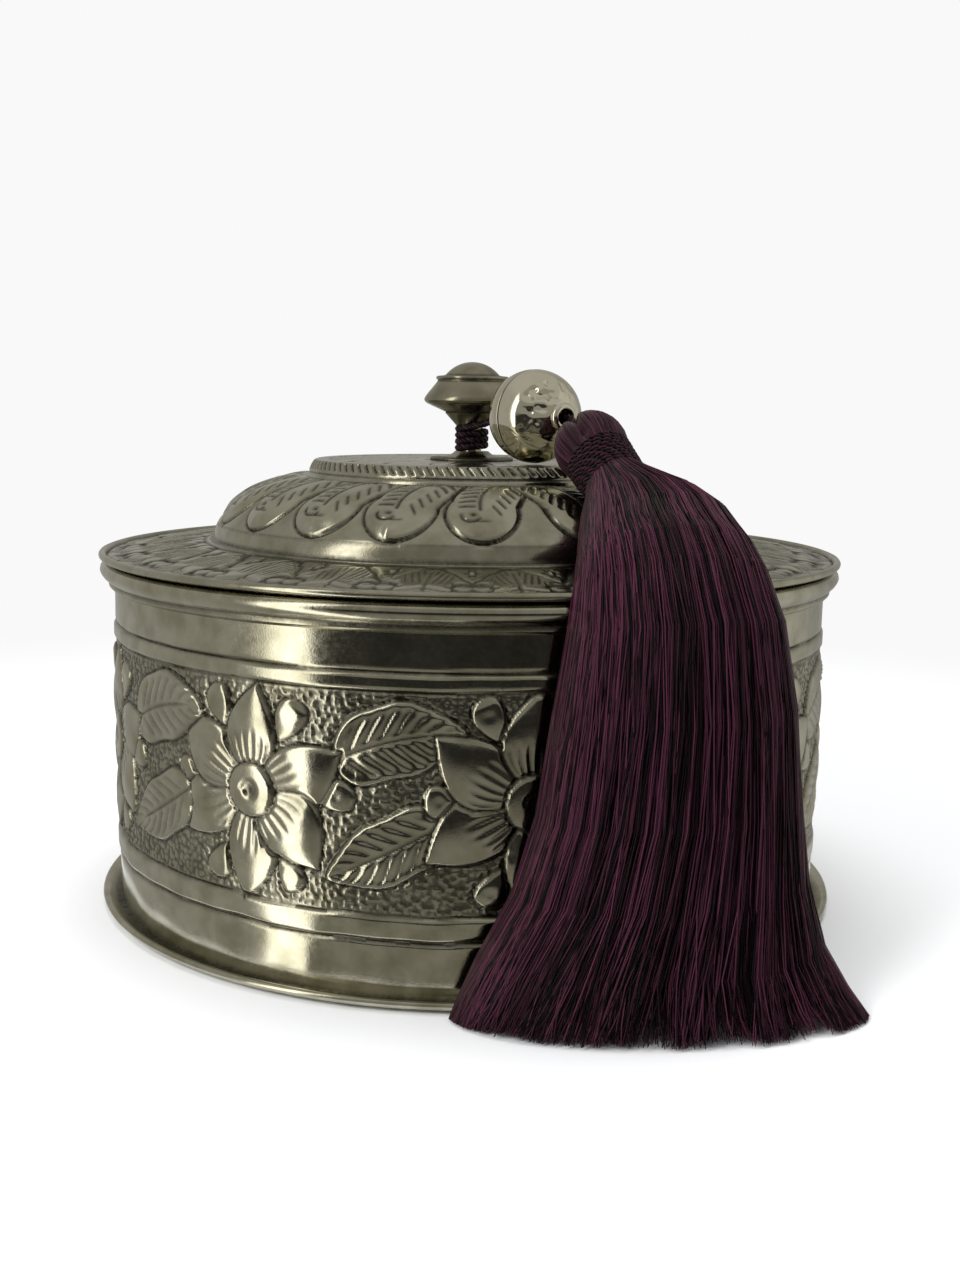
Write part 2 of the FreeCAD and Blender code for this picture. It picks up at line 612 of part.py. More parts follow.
gap = size("drape_gap")
lift = gap + size("leaf_rise") / 2
room_profile = [
    (0, -edge_top), (number(BASE_RADIUS) + gap, -edge_top),
    (number(BASE_RADIUS) + gap, size("base_lip") + gap),
    (edge_radius + gap, size("base_lip") + 2 * gap), (edge_radius + gap, edge_top + gap),
    (number(BRIM_ROLL_RADIUS), edge_top + gap),
    (size("dome_foot_radius") + gap, number(BAND_TOP) - size("dome_band") + size("dome_foot_thick") + gap),
    (size("dome_radius") + lift, number(BAND_TOP)),
    (size("dome_shoulder_radius") + 2 * lift, number(DOME_SHOULDER) + 2 * lift),
    (size("crown_radius") + gap, number(DOME_TOP) + 2 * lift),
    (size("crown_radius") + gap, number(CROWN_TOP) + gap), (0, number(CROWN_TOP) + gap),
]
room_corners = [Vector(radius, 0, height) for radius, height in room_profile]
room_face = Part.Face(Part.makePolygon(room_corners + room_corners[:1]))
room = room_face.revolve(Vector(0, 0, 0), UP, 360)
tassel_skirt = doc.addObject("Part::Feature", "tassel_skirt")
tassel_skirt.Shape = bundle.cut(room).Solids[0]

# Every sub-part, checked and then written under its own name
doc.recompute()
sub_parts = [
    base_plate, body_wall, rim_ring,
    lid_brim, lid_collar, lid_dome, lid_crown,
    knob_foot, knob, knob_stud, knob_washer, knob_nut,
    knob_cord, *bead_pieces,
    tassel_tie, tassel_head, tassel_binding, tassel_skirt,
]
for item in doc.Objects:
    if {"Invalid", "Error"} & set(item.State):
        raise RuntimeError(f"{item.Label} did not recompute")
for item in sub_parts:
    if item.Shape.isNull() or not item.Shape.isValid():
        raise RuntimeError(f"{item.Label} has no valid shape")
os.makedirs("parts", exist_ok=True)
for item in sub_parts:
    item.Shape.exportStep(f"parts/{item.Label}.step")
    box = item.Shape.optimalBoundingBox(False)
    print(f"{item.Label}: {item.Shape.Volume:.0f} mm3, x {box.XMin:.1f} to {box.XMax:.1f},",
          f"y {box.YMin:.1f} to {box.YMax:.1f}, z {box.ZMin:.1f} to {box.ZMax:.1f}")
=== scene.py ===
# A round lidded box of chased white metal, with a turned knob from which a beaded silk tassel hangs.
# Metres, in the frame of the solids: +Z is up, the front is at -Y, and azimuths run from -Y towards +X.
import math

import bmesh
import bpy
import numpy as np
from mathutils import Matrix, Vector


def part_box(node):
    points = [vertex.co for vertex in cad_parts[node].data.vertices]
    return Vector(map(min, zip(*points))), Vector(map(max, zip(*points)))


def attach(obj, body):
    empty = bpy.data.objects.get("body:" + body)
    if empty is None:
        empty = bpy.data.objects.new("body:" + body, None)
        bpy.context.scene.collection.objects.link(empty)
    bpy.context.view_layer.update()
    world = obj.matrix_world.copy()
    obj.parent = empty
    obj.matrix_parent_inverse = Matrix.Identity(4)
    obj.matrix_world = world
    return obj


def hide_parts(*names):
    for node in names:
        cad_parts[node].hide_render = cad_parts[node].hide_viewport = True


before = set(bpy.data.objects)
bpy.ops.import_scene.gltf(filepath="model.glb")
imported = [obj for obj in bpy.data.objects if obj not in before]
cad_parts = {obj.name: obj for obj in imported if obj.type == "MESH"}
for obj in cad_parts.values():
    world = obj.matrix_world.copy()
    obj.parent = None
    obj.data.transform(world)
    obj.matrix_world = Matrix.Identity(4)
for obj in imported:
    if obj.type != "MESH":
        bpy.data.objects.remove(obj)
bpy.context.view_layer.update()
scene = bpy.context.scene

# The view: that of the photograph, from the front and a little above the lid, with a slight tilt.
# Lengths are written in millimetres and turned to metres where they enter a mesh.
MM = 0.001
pitch, roll = math.radians(9.18), math.radians(0.81)
ahead = Vector((0, math.cos(pitch), -math.sin(pitch)))
level_up = Vector((0, math.sin(pitch), math.cos(pitch)))
level_right = Vector((1, 0, 0))
right = level_right * math.cos(roll) + level_up * math.sin(roll)
up = level_up * math.cos(roll) - level_right * math.sin(roll)
lens = bpy.data.cameras.new("view")
lens.lens = 42.19
lens.clip_start = 0.01
camera = bpy.data.objects.new("view", lens)
facing = Matrix((right, up, -ahead)).transposed().to_4x4()
camera.matrix_world = Matrix.Translation(Vector((3.03, -414.3, 135.1)) * MM) @ facing
scene.collection.objects.link(camera)
scene.camera = camera


# The wall: a strip of white-metal sheet rolled into a ring. Flowers and leaves are puffed out from behind,
# their outlines and veins are chased in from the front, and the ground between is punched with pebbles.
def colour(code):
    """An sRGB hex colour as linear red, green, blue and alpha."""
    parts = [int(code[place:place + 2], 16) / 255 for place in (1, 3, 5)]
    return [part / 12.92 if part <= 0.04045 else ((part + 0.055) / 1.055) ** 2.4 for part in parts] + [1]


def add(tree, kind, feeds=None, **settings):
    """Adds a shader node with its settings; feeds gives each input a value, a node or a node's output."""
    made = tree.nodes.new("ShaderNode" + kind)
    for name, value in settings.items():
        setattr(made, name, value)
    for name, value in (feeds or {}).items():
        if isinstance(value, bpy.types.Node):
            value = next(socket for socket in value.outputs if socket.enabled)
        if isinstance(value, bpy.types.NodeSocket):
            tree.links.new(value, made.inputs[name])
        else:
            made.inputs[name].default_value = value
    return made


def noise(tree, spot, size, detail):
    """A cloudy pattern from 0 to 1, with blotches of about this size in mm."""
    return add(tree, "TexNoise", {"Vector": spot, "Scale": 1 / (size * MM), "Detail": detail})


def remap(tree, value, low, high, least=0, most=1, **settings):
    """Carries a value's range from low to high over to one from least to most."""
    return add(tree, "MapRange", {
        "Value": value, "From Min": low, "From Max": high, "To Min": least, "To Max": most}, **settings)


def blended(tree, share, first, second, **settings):
    """A colour between two, at a share of the way from the first to the second."""
    return add(tree, "Mix", {"Factor": share, "A": first, "B": second}, data_type="RGBA", **settings)


def new_material(name):
    """An empty node material, its tree, and the place on the object that its patterns read."""
    material = bpy.data.materials.new(name)
    material.use_nodes = True
    tree = material.node_tree
    tree.nodes.clear()
    return material, tree, add(tree, "TexCoord").outputs["Object"]


def aged_metal(name, bright, tarnished, recess, gloss, grain):
    """Aged white metal: a warm grey reflector, blotched by handling, with black patina left in the recesses
    and painted shade under the lid's brim, both read from one mark.
    Gloss is the roughness of rubbed places, and grain the size in mm of the fine pitting of old sheet."""
    material, tree, spot = new_material(name)
    blotch = noise(tree, spot, 7, 4)
    speck = noise(tree, spot, 1.1, 3)
    pit = noise(tree, spot, grain, 2)
    patina = add(tree, "Attribute", attribute_name="patina").outputs["Fac"]
    handled = remap(tree, blotch, 0.38, 0.68)
    worn = blended(tree, handled, colour(bright), colour(tarnished))
    specked = remap(tree, speck, 0.3, 0.75, 0.75, 1.15)
    # The darkening here follows the mark: real patina in the hollows, and painted shade where a piece puts it,
    # as under the lid's brim.
    soot_and_shade = add(tree, "Math", {0: patina, 1: specked}, operation="MULTIPLY", use_clamp=True)
    skin = blended(tree, soot_and_shade, worn, colour(recess))
    dull = remap(tree, speck, 0.3, 0.7, gloss - 0.04, gloss + 0.06)
    rough = add(tree, "Math", {0: soot_and_shade, 1: 0.3, 2: dull}, operation="MULTIPLY_ADD", use_clamp=True)
    bump = add(tree, "Bump", {"Height": pit, "Strength": 0.35, "Distance": 0.04 * MM})
    shader = add(tree, "BsdfPrincipled", {
        "Base Color": skin, "Roughness": rough, "Metallic": 1, "Normal": bump})
    add(tree, "OutputMaterial", {"Surface": shader})
    return material


def turned(name, outline, steps, start=0, sweep=360, closed=True):
    """Wraps a grid into the mesh of a turned piece: a half section, radius and height in mm, carried round Z
    from one azimuth. Open ends are filled."""
    section = outline + outline[:1] if closed else outline
    shape = bmesh.new()
    bmesh.ops.create_grid(shape, x_segments=steps, y_segments=len(section) - 1, size=1)
    for spot in shape.verts:
        radius, height = section[round((spot.co.y + 1) / 2 * (len(section) - 1))]
        turn = math.radians(start + sweep * (spot.co.x + 1) / 2)
        spot.co = Vector((radius * math.sin(turn), -radius * math.cos(turn), height)) * MM
    bmesh.ops.remove_doubles(shape, verts=shape.verts, dist=0.002 * MM)
    open_edges = [edge for edge in shape.edges if edge.is_boundary]
    if open_edges and closed:
        bmesh.ops.holes_fill(shape, edges=open_edges, sides=0)
    bmesh.ops.recalc_face_normals(shape, faces=shape.faces)
    mesh = bpy.data.meshes.new(name)
    shape.to_mesh(mesh)
    shape.free()
    return mesh


def rows(first, last, step):
    """Heights or radii from one to another, in even steps of about the size asked for."""
    return list(np.linspace(first, last, max(2, round(abs(last - first) / step) + 1)))


def places(mesh):
    """The mesh's points in mm, one row each."""
    spots = np.empty(len(mesh.vertices) * 3, np.float32)
    mesh.vertices.foreach_get("co", spots)
    return spots.reshape(-1, 3).astype(float) / MM


def round_axis(spots):
    """The radius in mm and the azimuth of each point."""
    return np.hypot(spots[:, 0], spots[:, 1]), np.arctan2(spots[:, 0], -spots[:, 1])


def pushed(spots, out):
    """The points moved out from the axis by these distances in mm."""
    scale = 1 + out / np.maximum(np.hypot(spots[:, 0], spots[:, 1]), 1)
    return np.column_stack((spots[:, 0] * scale, spots[:, 1] * scale, spots[:, 2]))


def mark(mesh, name, values):
    """Keeps a number on each of the mesh's points, for the material."""
    kept = mesh.attributes.new(name, "FLOAT", "POINT")
    kept.data.foreach_set("value", np.clip(values, 0, 1).astype(np.float32))


def put(mesh, spots, **marks):
    """Moves the mesh's points to places in mm, and marks them."""
    mesh.vertices.foreach_set("co", (spots * MM).astype(np.float32).ravel())
    for name, values in marks.items():
        mark(mesh, name, values)
    mesh.update()


def show(mesh, material, body, slot, *nodes, corner=50):
    """Makes the piece from its mesh: smooth but for its corners, riding on a body, in place of solids."""
    mesh.polygons.foreach_set("use_smooth", [True] * len(mesh.polygons))
    mesh.set_sharp_from_angle(angle=math.radians(corner))
    mesh.materials.append(material)
    item = bpy.data.objects.new(mesh.name, mesh)
    scene.collection.objects.link(item)
    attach(item, body)
    if nodes:
        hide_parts(*nodes)


def ease(low, high, value):
    """0 below low, 1 above high, and a smooth rise between."""
    share = np.clip((value - low) / (high - low), 0, 1)
    return share * share * (3 - 2 * share)


def soft(gap, width):
    """1 on a line, fading away on both sides of it over about this width."""
    return np.exp(-(gap / width) ** 2)


def against(x, y, base, tip, bow, width, blunt, sharp, lobes=0):
    """Reads points against a leaf-shaped outline on a bowed axis. Gives the share of the way to its tip, the
    share of the way from axis to edge, left positive, and how far inside the edge a point is, in mm."""
    run = np.subtract(tip, base)
    length = math.hypot(*run)
    along = ((x - base[0]) * run[0] + (y - base[1]) * run[1]) / length ** 2
    across = ((y - base[1]) * run[0] - (x - base[0]) * run[1]) / length - 4 * bow * along * (1 - along)
    share = np.clip(along, 0.002, 0.998)
    widest = blunt / (blunt + sharp)
    half = width * (share / widest) ** blunt * ((1 - share) / (1 - widest)) ** sharp
    half *= 1 + 0.06 * np.sin(2 * math.pi * lobes * share) * (lobes > 0)
    slope = half * (blunt / share - sharp / (1 - share)) / length
    inside = (half - np.abs(across)) / np.sqrt(1 + slope ** 2)
    beyond = np.maximum(along - 1, -along) * length
    inside = np.where(beyond > 0, -np.hypot(across, beyond), inside)
    return along, across / half, inside


def chase(rise, ink, inside, height, dark, cut, spread):
    """Lays one puffed shape over what is there and cuts its outline in with a blunt chasing tool."""
    cover = ease(-0.1, 0.3, inside)
    rise = rise * (1 - cover) + height * cover
    ink = ink * (1 - cover) + dark * cover
    line = soft(inside, spread)
    return rise - cut * line, np.maximum(ink, 0.95 * line)


def hatch(along, side, length, first, pitch, count, sweep, stroke):
    """Curved side veins, stroke mm wide: how near a point is to one, from 0 to 1."""
    lane = (along - sweep * np.abs(side) ** 1.2 - first) / pitch
    nearest = np.clip(np.round(lane), 0, count - 1)
    gap = np.abs(lane - nearest) * pitch * length
    return soft(gap, stroke) * ease(0.06, 0.2, np.abs(side)) * (1 - ease(0.72, 0.9, np.abs(side)))


def veined_leaf(rise, ink, x, y, base, tip, bow, width):
    """A lobed leaf with a midrib, side veins and a raised rim."""
    along, side, inside = against(x, y, base, tip, bow, width, 0.45, 0.7, lobes=2)
    length = math.dist(base, tip)
    vein = hatch(along, side, length, 0.12, 0.115, 7, 0.24, 0.75)
    rib = soft(side * width, 0.5) * (1 - ease(0.7, 0.9, along))
    rim = soft(inside - 1.2, 0.9)
    hollow = np.clip(1 - (2 * np.abs(side) - 0.95) ** 2, 0, 1)
    height = 0.15 + 0.3 * rim + 0.4 * hollow * ease(0, 0.2, along) - 0.34 * vein - 0.35 * rib
    return chase(rise, ink, inside, height, np.maximum(0.35 * vein, 0.6 * rib), 0.45, 0.5)


def compass(heading):
    """The step of 1 mm at a heading in degrees on the unrolled wall."""
    return np.array((math.cos(math.radians(heading)), math.sin(math.radians(heading))))


def flower(rise, ink, x, y):
    """Six puffed petals with short veins round a dimpled button, and six buds between them."""
    petals = ((207, 27.4, 7.6, -1.4), (143.5, 26.5, 7.6, 1.6), (-94, 26.4, 7.3, 1.2), (85, 25.4, 7.1, 1.2),
              (25.5, 26.2, 7.8, -1.8), (-43, 24.6, 8.4, 2.4))
    buds = ((58, 14, 25.6, 4.1), (2, 15, 26.8, 3.8), (-60.5, 15.5, 25.6, 3.5),
            (-118.5, 15.5, 25.4, 3.6), (175.5, 14.5, 24.2, 3.7), (115, 14.5, 26, 3.8))
    for heading, near, far, width in buds:
        aim = compass(heading)
        along, side, inside = against(x, y, aim * near, aim * far, 0.4, width, 0.9, 0.42)
        height = 0.6 * np.sqrt(np.clip(1 - side ** 2, 0, 1)) * ease(0.05, 0.6, along)
        height *= 1 - ease(0.8, 1.02, along)
        curl = np.exp(-((along - 0.62) * (far - near) / 1.1) ** 2 - (side * width / 1.3) ** 2)
        rise, ink = chase(rise, ink, inside, 0.15 + height - 0.15 * curl, 0, 0.42, 0.42)
    for heading, far, width, bow in petals:
        aim = compass(heading)
        along, side, inside = against(x, y, aim * 2.5, aim * far, bow, width, 0.85, 1.05)
        dome = np.clip(1 - side ** 2, 0, 1) ** 0.8
        height = 0.12 + 0.85 * dome * ease(0.12, 0.55, along) * (1 - 0.7 * ease(0.62, 1, along))
        vein = np.zeros_like(x)
        for lane in (-0.72, -0.44, -0.16, 0.14, 0.42, 0.7):
            stroke = soft((side - lane - 0.25 * along * lane) * width * 0.8, 0.36)
            end = 1 - ease(0.36, 0.6 - 0.2 * abs(lane), along)
            vein = np.maximum(vein, stroke * ease(0.1, 0.2, along) * end)
        rise, ink = chase(rise, ink, inside, height - 0.24 * vein, 0.4 * vein, 0.5, 0.42)
    out = np.hypot(x, y)
    swirl = soft(out - 0.9 - 0.25 * (np.arctan2(y, x) + math.pi), 0.4) * (out < 2.9)
    button = 0.85 * np.sqrt(np.clip(1 - (out / 7.4) ** 2, 0, 1))
    height = button - 0.75 * soft(out, 1.5) - 0.25 * swirl
    dark = np.maximum(0.85 * soft(out, 1.1), 0.5 * swirl)
    return chase(rise, ink, 6.5 - out, height, dark, 0.5, 0.42)


WALL_RADIUS, BAND_LOW, BAND_HIGH = 96, 21.1, 71.6
REPEATS, FIRST_FLOWER, FLOWER_HEIGHT = 9, -30.5, 46.3


def pebbles(x, y, width, cell, seed):
    """Distance in mm to the nearest of the punch marks that are scattered one to a cell, all round."""
    across, down = round(width / cell), 60
    step = width / across
    jitter = np.random.default_rng(seed).uniform(0.12, 0.88, (across, down, 2))
    column, row = np.floor(x / step).astype(int), np.floor(y / cell).astype(int)
    nearest = np.full_like(x, 9.0)
    for shift in (-1, 0, 1):
        for lift in (-1, 0, 1):
            here = jitter[(column + shift) % across, np.clip(row + lift, 0, down - 1)]
            nearest = np.minimum(nearest, np.hypot(
                (column + shift + here[:, 0]) * step - x, (row + lift + here[:, 1]) * cell - y))
    return nearest


def wall_chasing(azimuth, height):
    """How far the chased wall stands out of its round, and its patina, at azimuths in radians."""
    girth = 2 * math.pi * WALL_RADIUS
    turn = np.degrees(azimuth)
    wander = 0.22 * np.sin(7 * azimuth + 0.4) + 0.14 * np.sin(19 * azimuth) + 0.08 * np.sin(43 * azimuth + 1)
    low, high = height - BAND_LOW - wander, height - BAND_HIGH - 0.6 * wander
    ground = ease(0.2, 0.8, low) * ease(0.2, 0.8, -high)
    punched = ease(0.46, 0.76, pebbles((azimuth % (2 * math.pi)) * WALL_RADIUS, height, girth, 1.5, 11))
    rise = ground * (-0.1 - 0.26 * punched)
    ink = ground * (0.2 + 0.5 * punched)
    for repeat in range(REPEATS):
        lean = math.radians(2.5 * math.sin(2.1 * repeat))
        size = 1 + 0.03 * math.sin(1.3 * repeat)
        lift = 0.7 * math.sin(1.7 * repeat)
        x = np.radians((turn - FIRST_FLOWER - 360 / REPEATS * repeat + 140) % 360 - 140) * WALL_RADIUS
        y = height - FLOWER_HEIGHT - lift
        near = (x > 14) & (x < 58) & (ground > 0)
        for leaf in (((21.6, 8.8), (52.5, 16.4), 2.2, 9), ((47.5, -3.2), (19.6, -18), 0.6, 8)):
            rise[near], ink[near] = veined_leaf(rise[near], ink[near], x[near], y[near], *leaf)
        cos, sin = math.cos(lean), math.sin(lean)
        x, y = (x * cos + y * sin) / size, (y * cos - x * sin) / size
        near = (np.abs(x) < 31) & (np.abs(y) < 31)
        rise[near], ink[near] = flower(rise[near], ink[near], x[near], y[near])
    swell = ease(-6.2, -4.6, low) * ease(0.2, 1.2, -low)
    swell = swell + ease(0.2, 1.0, high) * ease(0.2, 1.0, 4.4 - high)
    rise = rise * ease(0, 1, low) * ease(0, 1, -high) + 0.4 * swell
    for line, cut in ((low, 0.6), (low + 6.2, 0.55), (high, 0.6), (high - 4.4, 0.55)):
        groove = soft(line, 0.42)
        rise -= cut * groove
        ink = np.maximum(ink, 0.9 * groove)
    beaten = 0.09 * np.sin(5 * azimuth + 0.06 * height) + 0.06 * np.sin(13 * azimuth - 0.11 * height + 2)
    return rise + beaten + 0.03 * np.sin(31 * azimuth + 0.25 * height), ink


WHITE_METAL = aged_metal("aged_white_metal", "#BDBAA9", "#A19E8A", "#1C1914", 0.13, 0.42)
WALL_INSIDE, WALL_STEPS, CHASED_TOP = 95, 620, 93.2
wall_low, wall_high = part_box("body_wall")[0].z / MM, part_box("body_wall")[1].z / MM
wall_outline = [(WALL_INSIDE, wall_low), (WALL_INSIDE, wall_high)]
for first, last, step in (
        (wall_high, 77.6, 1.4), (77, BAND_HIGH - 0.6, 0.5), (BAND_HIGH - 1.06, BAND_LOW + 0.6, 0.46),
        (BAND_LOW + 0.1, 13.6, 0.5), (13, wall_low, 1.4)):
    wall_outline += [(WALL_RADIUS, height) for height in rows(first, last, step)]
for name, start, nodes in (("chased_wall_front", -118, ["body_wall"]), ("chased_wall_back", 62, [])):
    mesh = turned(name, wall_outline, WALL_STEPS, start, 180)
    spots = places(mesh)
    reach, azimuth = round_axis(spots)
    rise, ink = wall_chasing(azimuth, spots[:, 2])
    outside = reach > WALL_RADIUS - 0.1
    fade = ease(wall_low, wall_low + 3, spots[:, 2])
    fade *= ease(wall_low, wall_low + 9, CHASED_TOP - spots[:, 2] + wall_low)
    put(mesh, pushed(spots, np.where(outside, rise * fade, 0)), patina=np.where(outside, ink, 0.25))
    show(mesh, WHITE_METAL, "box", "white_metal", *nodes, corner=65)


# The base plate and the ring round the mouth: a disc whose edge is flared and rolled over, and a moulded
# band. Both are spun sheet that was trued by hand, so their edges wander a little.
def wobble(spots, amount, seed):
    """Draws turned work in by about this many mm, here more and there less, as hand work wanders."""
    _, azimuth = round_axis(spots)
    wave = np.sin(3 * azimuth + seed) + 0.6 * np.sin(7 * azimuth + 2 * seed)
    wave = wave + 0.35 * np.sin(17 * azimuth + 3 * seed)
    return pushed(spots, -amount * (1 + 0.5 * wave))


def plain_piece(name, outline, steps, amount, seed, grime, material, body, slot, *nodes):
    """A turned piece with a slight wobble, and patina where grime, a function of radius and height, says."""
    mesh = turned(name, outline, steps)
    spots = places(mesh)
    reach, _ = round_axis(spots)
    put(mesh, wobble(spots, amount, seed), patina=grime(reach, spots[:, 2]))
    show(mesh, material, body, slot, *nodes, corner=35)


plain_piece("base_disc", [
    (0, 0), (94, 0), (95, 0.05), (97.5, 0.45), (99.8, 1.0), (100.4, 1.25), (100.85, 1.75), (101, 2.2),
    (100.85, 2.65), (100.4, 3.0), (99.9, 3.05), (99.2, 2.75), (98.3, 2.1), (97.3, 1.5), (96.6, 1.25),
    (94, 1.2), (0, 1.2)],
    360, 0.12, 0.7, lambda reach, height: 0.85 * ease(98.6, 96.6, reach) * (height > 0.6),
    WHITE_METAL, "box", "white_metal", "base_plate")
plain_piece("mouth_ring", [
    (96.05, 84.7), (96.9, 85.0), (97.5, 85.6), (97.6, 86.3), (97.6, 86.75), (98.2, 87.3), (98.95, 88.0),
    (99.5, 88.8), (99.75, 89.5), (99.6, 90.3), (99.1, 91.1), (98.3, 91.7), (97.6, 91.95), (96.05, 91.95)],
    480, 0.1, 2.1, lambda reach, height: 0.8 * soft(height - 86.6, 0.35) + 0.6 * ease(85.4, 84.7, height),
    WHITE_METAL, "box", "white_metal", "rim_ring")

# The lid's brim and collar: a coned ring of sheet with a rolled edge, chased all round with paired leaves,
# and the plain sleeve under it that drops into the box.
BRIM_REPEATS, FIRST_STEM, BRIM_STEPS = 26, -6.1, 1600
BRIM_EDGE, BRIM_EDGE_TOP, BRIM_RISE, BRIM_WIDTH, BRIM_SHEET = 98.2, 93.3, 4, 32.2, 1


def brim_chasing(azimuth, reach):
    """Rise and patina of the brim's top: pairs of hatched, lobed leaves about a stem, with ovals between."""
    pitch, middle = 360 / BRIM_REPEATS, 88
    half = math.radians(pitch / 2) * middle
    turn = np.degrees(azimuth) - FIRST_STEM + 0.4 * np.sin(5 * azimuth)
    x = np.abs(np.radians((turn + pitch / 2) % pitch - pitch / 2)) * middle
    share = x / half
    inner = 73.8 + 14 * share ** 1.7 - 0.9 * np.abs(np.sin(2.5 * math.pi * share))
    outer = 92.8 + 4 * np.sin(math.pi / 2 * share)
    inside = np.minimum(reach - inner, outer - reach)
    lane = (x + 0.22 * (reach - 80) - 1.4) / 1.7
    stroke = soft((lane - np.round(lane)) * 1.7, 0.4) * ease(2.2, 3.6, inside)
    stroke *= ease(0.9, 1.6, x) * (1 - ease(5.8, 7, x)) * (1 - ease(87, 90, reach))
    height = 0.35 * ease(0, 3, inside) - 0.25 * stroke
    rise, ink = np.zeros_like(x), np.full_like(x, 0.03)
    rise, ink = chase(rise, ink, inside, height, 0.02 + 0.95 * stroke, 0.4, 1.4)
    lip = soft(reach - outer, 0.8)
    rise, ink = rise + 0.6 * lip, ink * (1 - 0.95 * lip)
    for place, lie, wide, deep in ((8.6, 91.4, 2.5, 3), (half, 77, 1.2, 2.4)):
        _, side, inside = against(x, reach, (place - wide, lie), (place + wide, lie), 0, deep, 0.5, 0.5)
        rise, ink = chase(rise, ink, inside, 0.25 * np.clip(1 - side ** 2, 0, 1), 0.05, 0.35, 0.9)
    stem = soft(x, 0.4) * ease(76.5, 79, reach) * (1 - ease(93, 94.4, reach))
    for line in (stem, soft(reach - 72.4, 0.6), soft(reach - 97.8, 0.5)):
        rise, ink = rise - 0.3 * line, np.maximum(ink, 0.9 * line)
    return rise, ink


def brim_top(reach):
    """Height of the brim's plain top at a radius."""
    return BRIM_EDGE_TOP + BRIM_RISE * (BRIM_EDGE - reach) / BRIM_WIDTH


brim_outline = [(reach, brim_top(reach) - BRIM_SHEET) for reach in [66] + rows(70, 97, 4)]
brim_outline += [(98.2, 92.3), (99.0, 92.3), (99.6, 92.55), (99.92, 92.95), (100, 93.3), (99.92, 93.65),
                 (99.6, 94.05), (99.0, 94.28), (98.6, 94.2), (98.3, 93.9)]
brim_outline += [(reach, brim_top(reach)) for reach in rows(97.9, 71, 0.7) + [68, 66]]
mesh = turned("lid_brim_chased", brim_outline, BRIM_STEPS)
spots = places(mesh)
reach, azimuth = round_axis(spots)
rise, ink = brim_chasing(azimuth, reach)
on_top = (spots[:, 2] > brim_top(reach) - 0.2) & (reach < 98.25)
spots[:, 2] += np.where(on_top, rise * ease(71.5, 73, reach), 0)
# Painted shade: the brim's underside is darkened to 0.35 so that the gap over the mouth ring reads dark, while
# the top keeps its chased patina.
shaded_underside = spots[:, 2] < brim_top(reach) - 0.5
put(mesh, wobble(spots, 0.1, 1.3), patina=np.where(on_top, ink, np.where(shaded_underside, 0.35, 0.1)))
show(mesh, WHITE_METAL, "lid", "white_metal", "lid_brim", corner=60)
plain_piece("lid_sleeve", [
    (93.4, 80.2), (93.6, 80), (94.2, 80), (94.4, 80.2), (94.4, 92.62), (93.4, 92.72)],
    360, 0.05, 0.2, lambda reach, height: np.full_like(reach, 0.2),
    WHITE_METAL, "lid", "white_metal", "lid_collar")

# The lid's dome: a raised shell with a border of leaning leaves, round ends outwards, over a plain band and
# foot. Each leaf is puffed from behind, and its midrib and side veins are struck with a short straight
# chisel. The two halves of the border were worked from the back and meet at the front, tip to tip.
LEAF_PITCH, DOME_STEPS, DOME_SHEET = 18.4, 1040, 1
DOME_LEAVES = [(1.3 - LEAF_PITCH * leaf, 1) for leaf in range(10)]
DOME_LEAVES += [(28 + LEAF_PITCH * leaf, -1) for leaf in range(9)]
DOME_FOOT, DOME_SHOULDER, DOME_TOP = (69, 101.2), (59.6, 109.6), (46, 113.6)


def dome_chasing(azimuth, drop):
    """Rise and patina of the dome, drop being the distance in mm down its curve from the crown."""
    rise, ink = np.zeros_like(drop), np.full_like(drop, 0.12)
    for centre, lean in DOME_LEAVES:
        local = lean * ((np.degrees(azimuth) - centre + 180) % 360 - 180)
        near = (np.abs(local) < 30) & (drop > -1) & (drop < 29)
        x, y = np.radians(local[near]) * (46 + 0.78 * drop[near]), drop[near]
        _, _, inside = against(x, y, (0.5, 26), (11, -5), -2.4, 8, 0.5, 0.6)
        x -= 1.8
        oval = np.hypot(x / 8.6, (y - 17) / 9.2)
        inside = np.maximum(inside, (1 - oval) * 9)
        past = x + 0.6 - 0.02 * np.clip(15 - y, 0, 15) ** 2
        rib = soft(past, 0.45) * ease(0, 1, 17.6 - y)
        lane = np.clip(np.round((y - 3.4) / 2.4), 0, 5)
        left = soft(y - 3.4 - 2.4 * lane, 0.5) * ease(0.6, 1.2, -past) * ease(0, 1, past + 5.4)
        slant, run = 0.867 * x - 0.497 * y, 0.497 * x + 0.867 * y - 9.9
        lane = np.clip(np.round((slant + 5.6) / 2.3), 0, 5)
        run += 0.75 * slant
        right = soft(slant + 5.6 - 2.3 * lane, 0.4) * ease(-0.4, 0.4, run) * (1 - ease(3.6, 4.8, run))
        across, down = (x + 2.6) / 2.2, (y - 18.6) / 2
        hook = soft(np.hypot(across, down) - 1, 0.2) * ease(-0.2, 0.25, down - 0.35 * across)
        tail = soft(y - 20.5, 0.4) * ease(-2.6, -1, x) * ease(0, 2, 2.6 - x)
        curl = np.max((hook, 0.8 * tail, np.exp(-((x + 2.1) / 0.9) ** 2 - ((y - 18.4) / 0.7) ** 2)), axis=0)
        struck = np.max((rib, 0.9 * left, 0.9 * right, curl), axis=0)
        height = 0.2 + 0.9 * ease(0, 5, inside) * (0.55 + 0.45 * ease(8, 17, y)) - 0.4 * struck
        rise[near], ink[near] = chase(rise[near], ink[near], inside, height, 0.95 * struck, 0.65, 0.5)
    line = soft(drop - 27.3, 0.5)
    return rise - 0.25 * line, np.maximum(ink, 0.6 * line)


def arc(radius, angles, x=0, z=0):
    """Points of a half section on an arc about a centre."""
    return [(x + radius * math.cos(angle), z + radius * math.sin(angle)) for angle in angles]


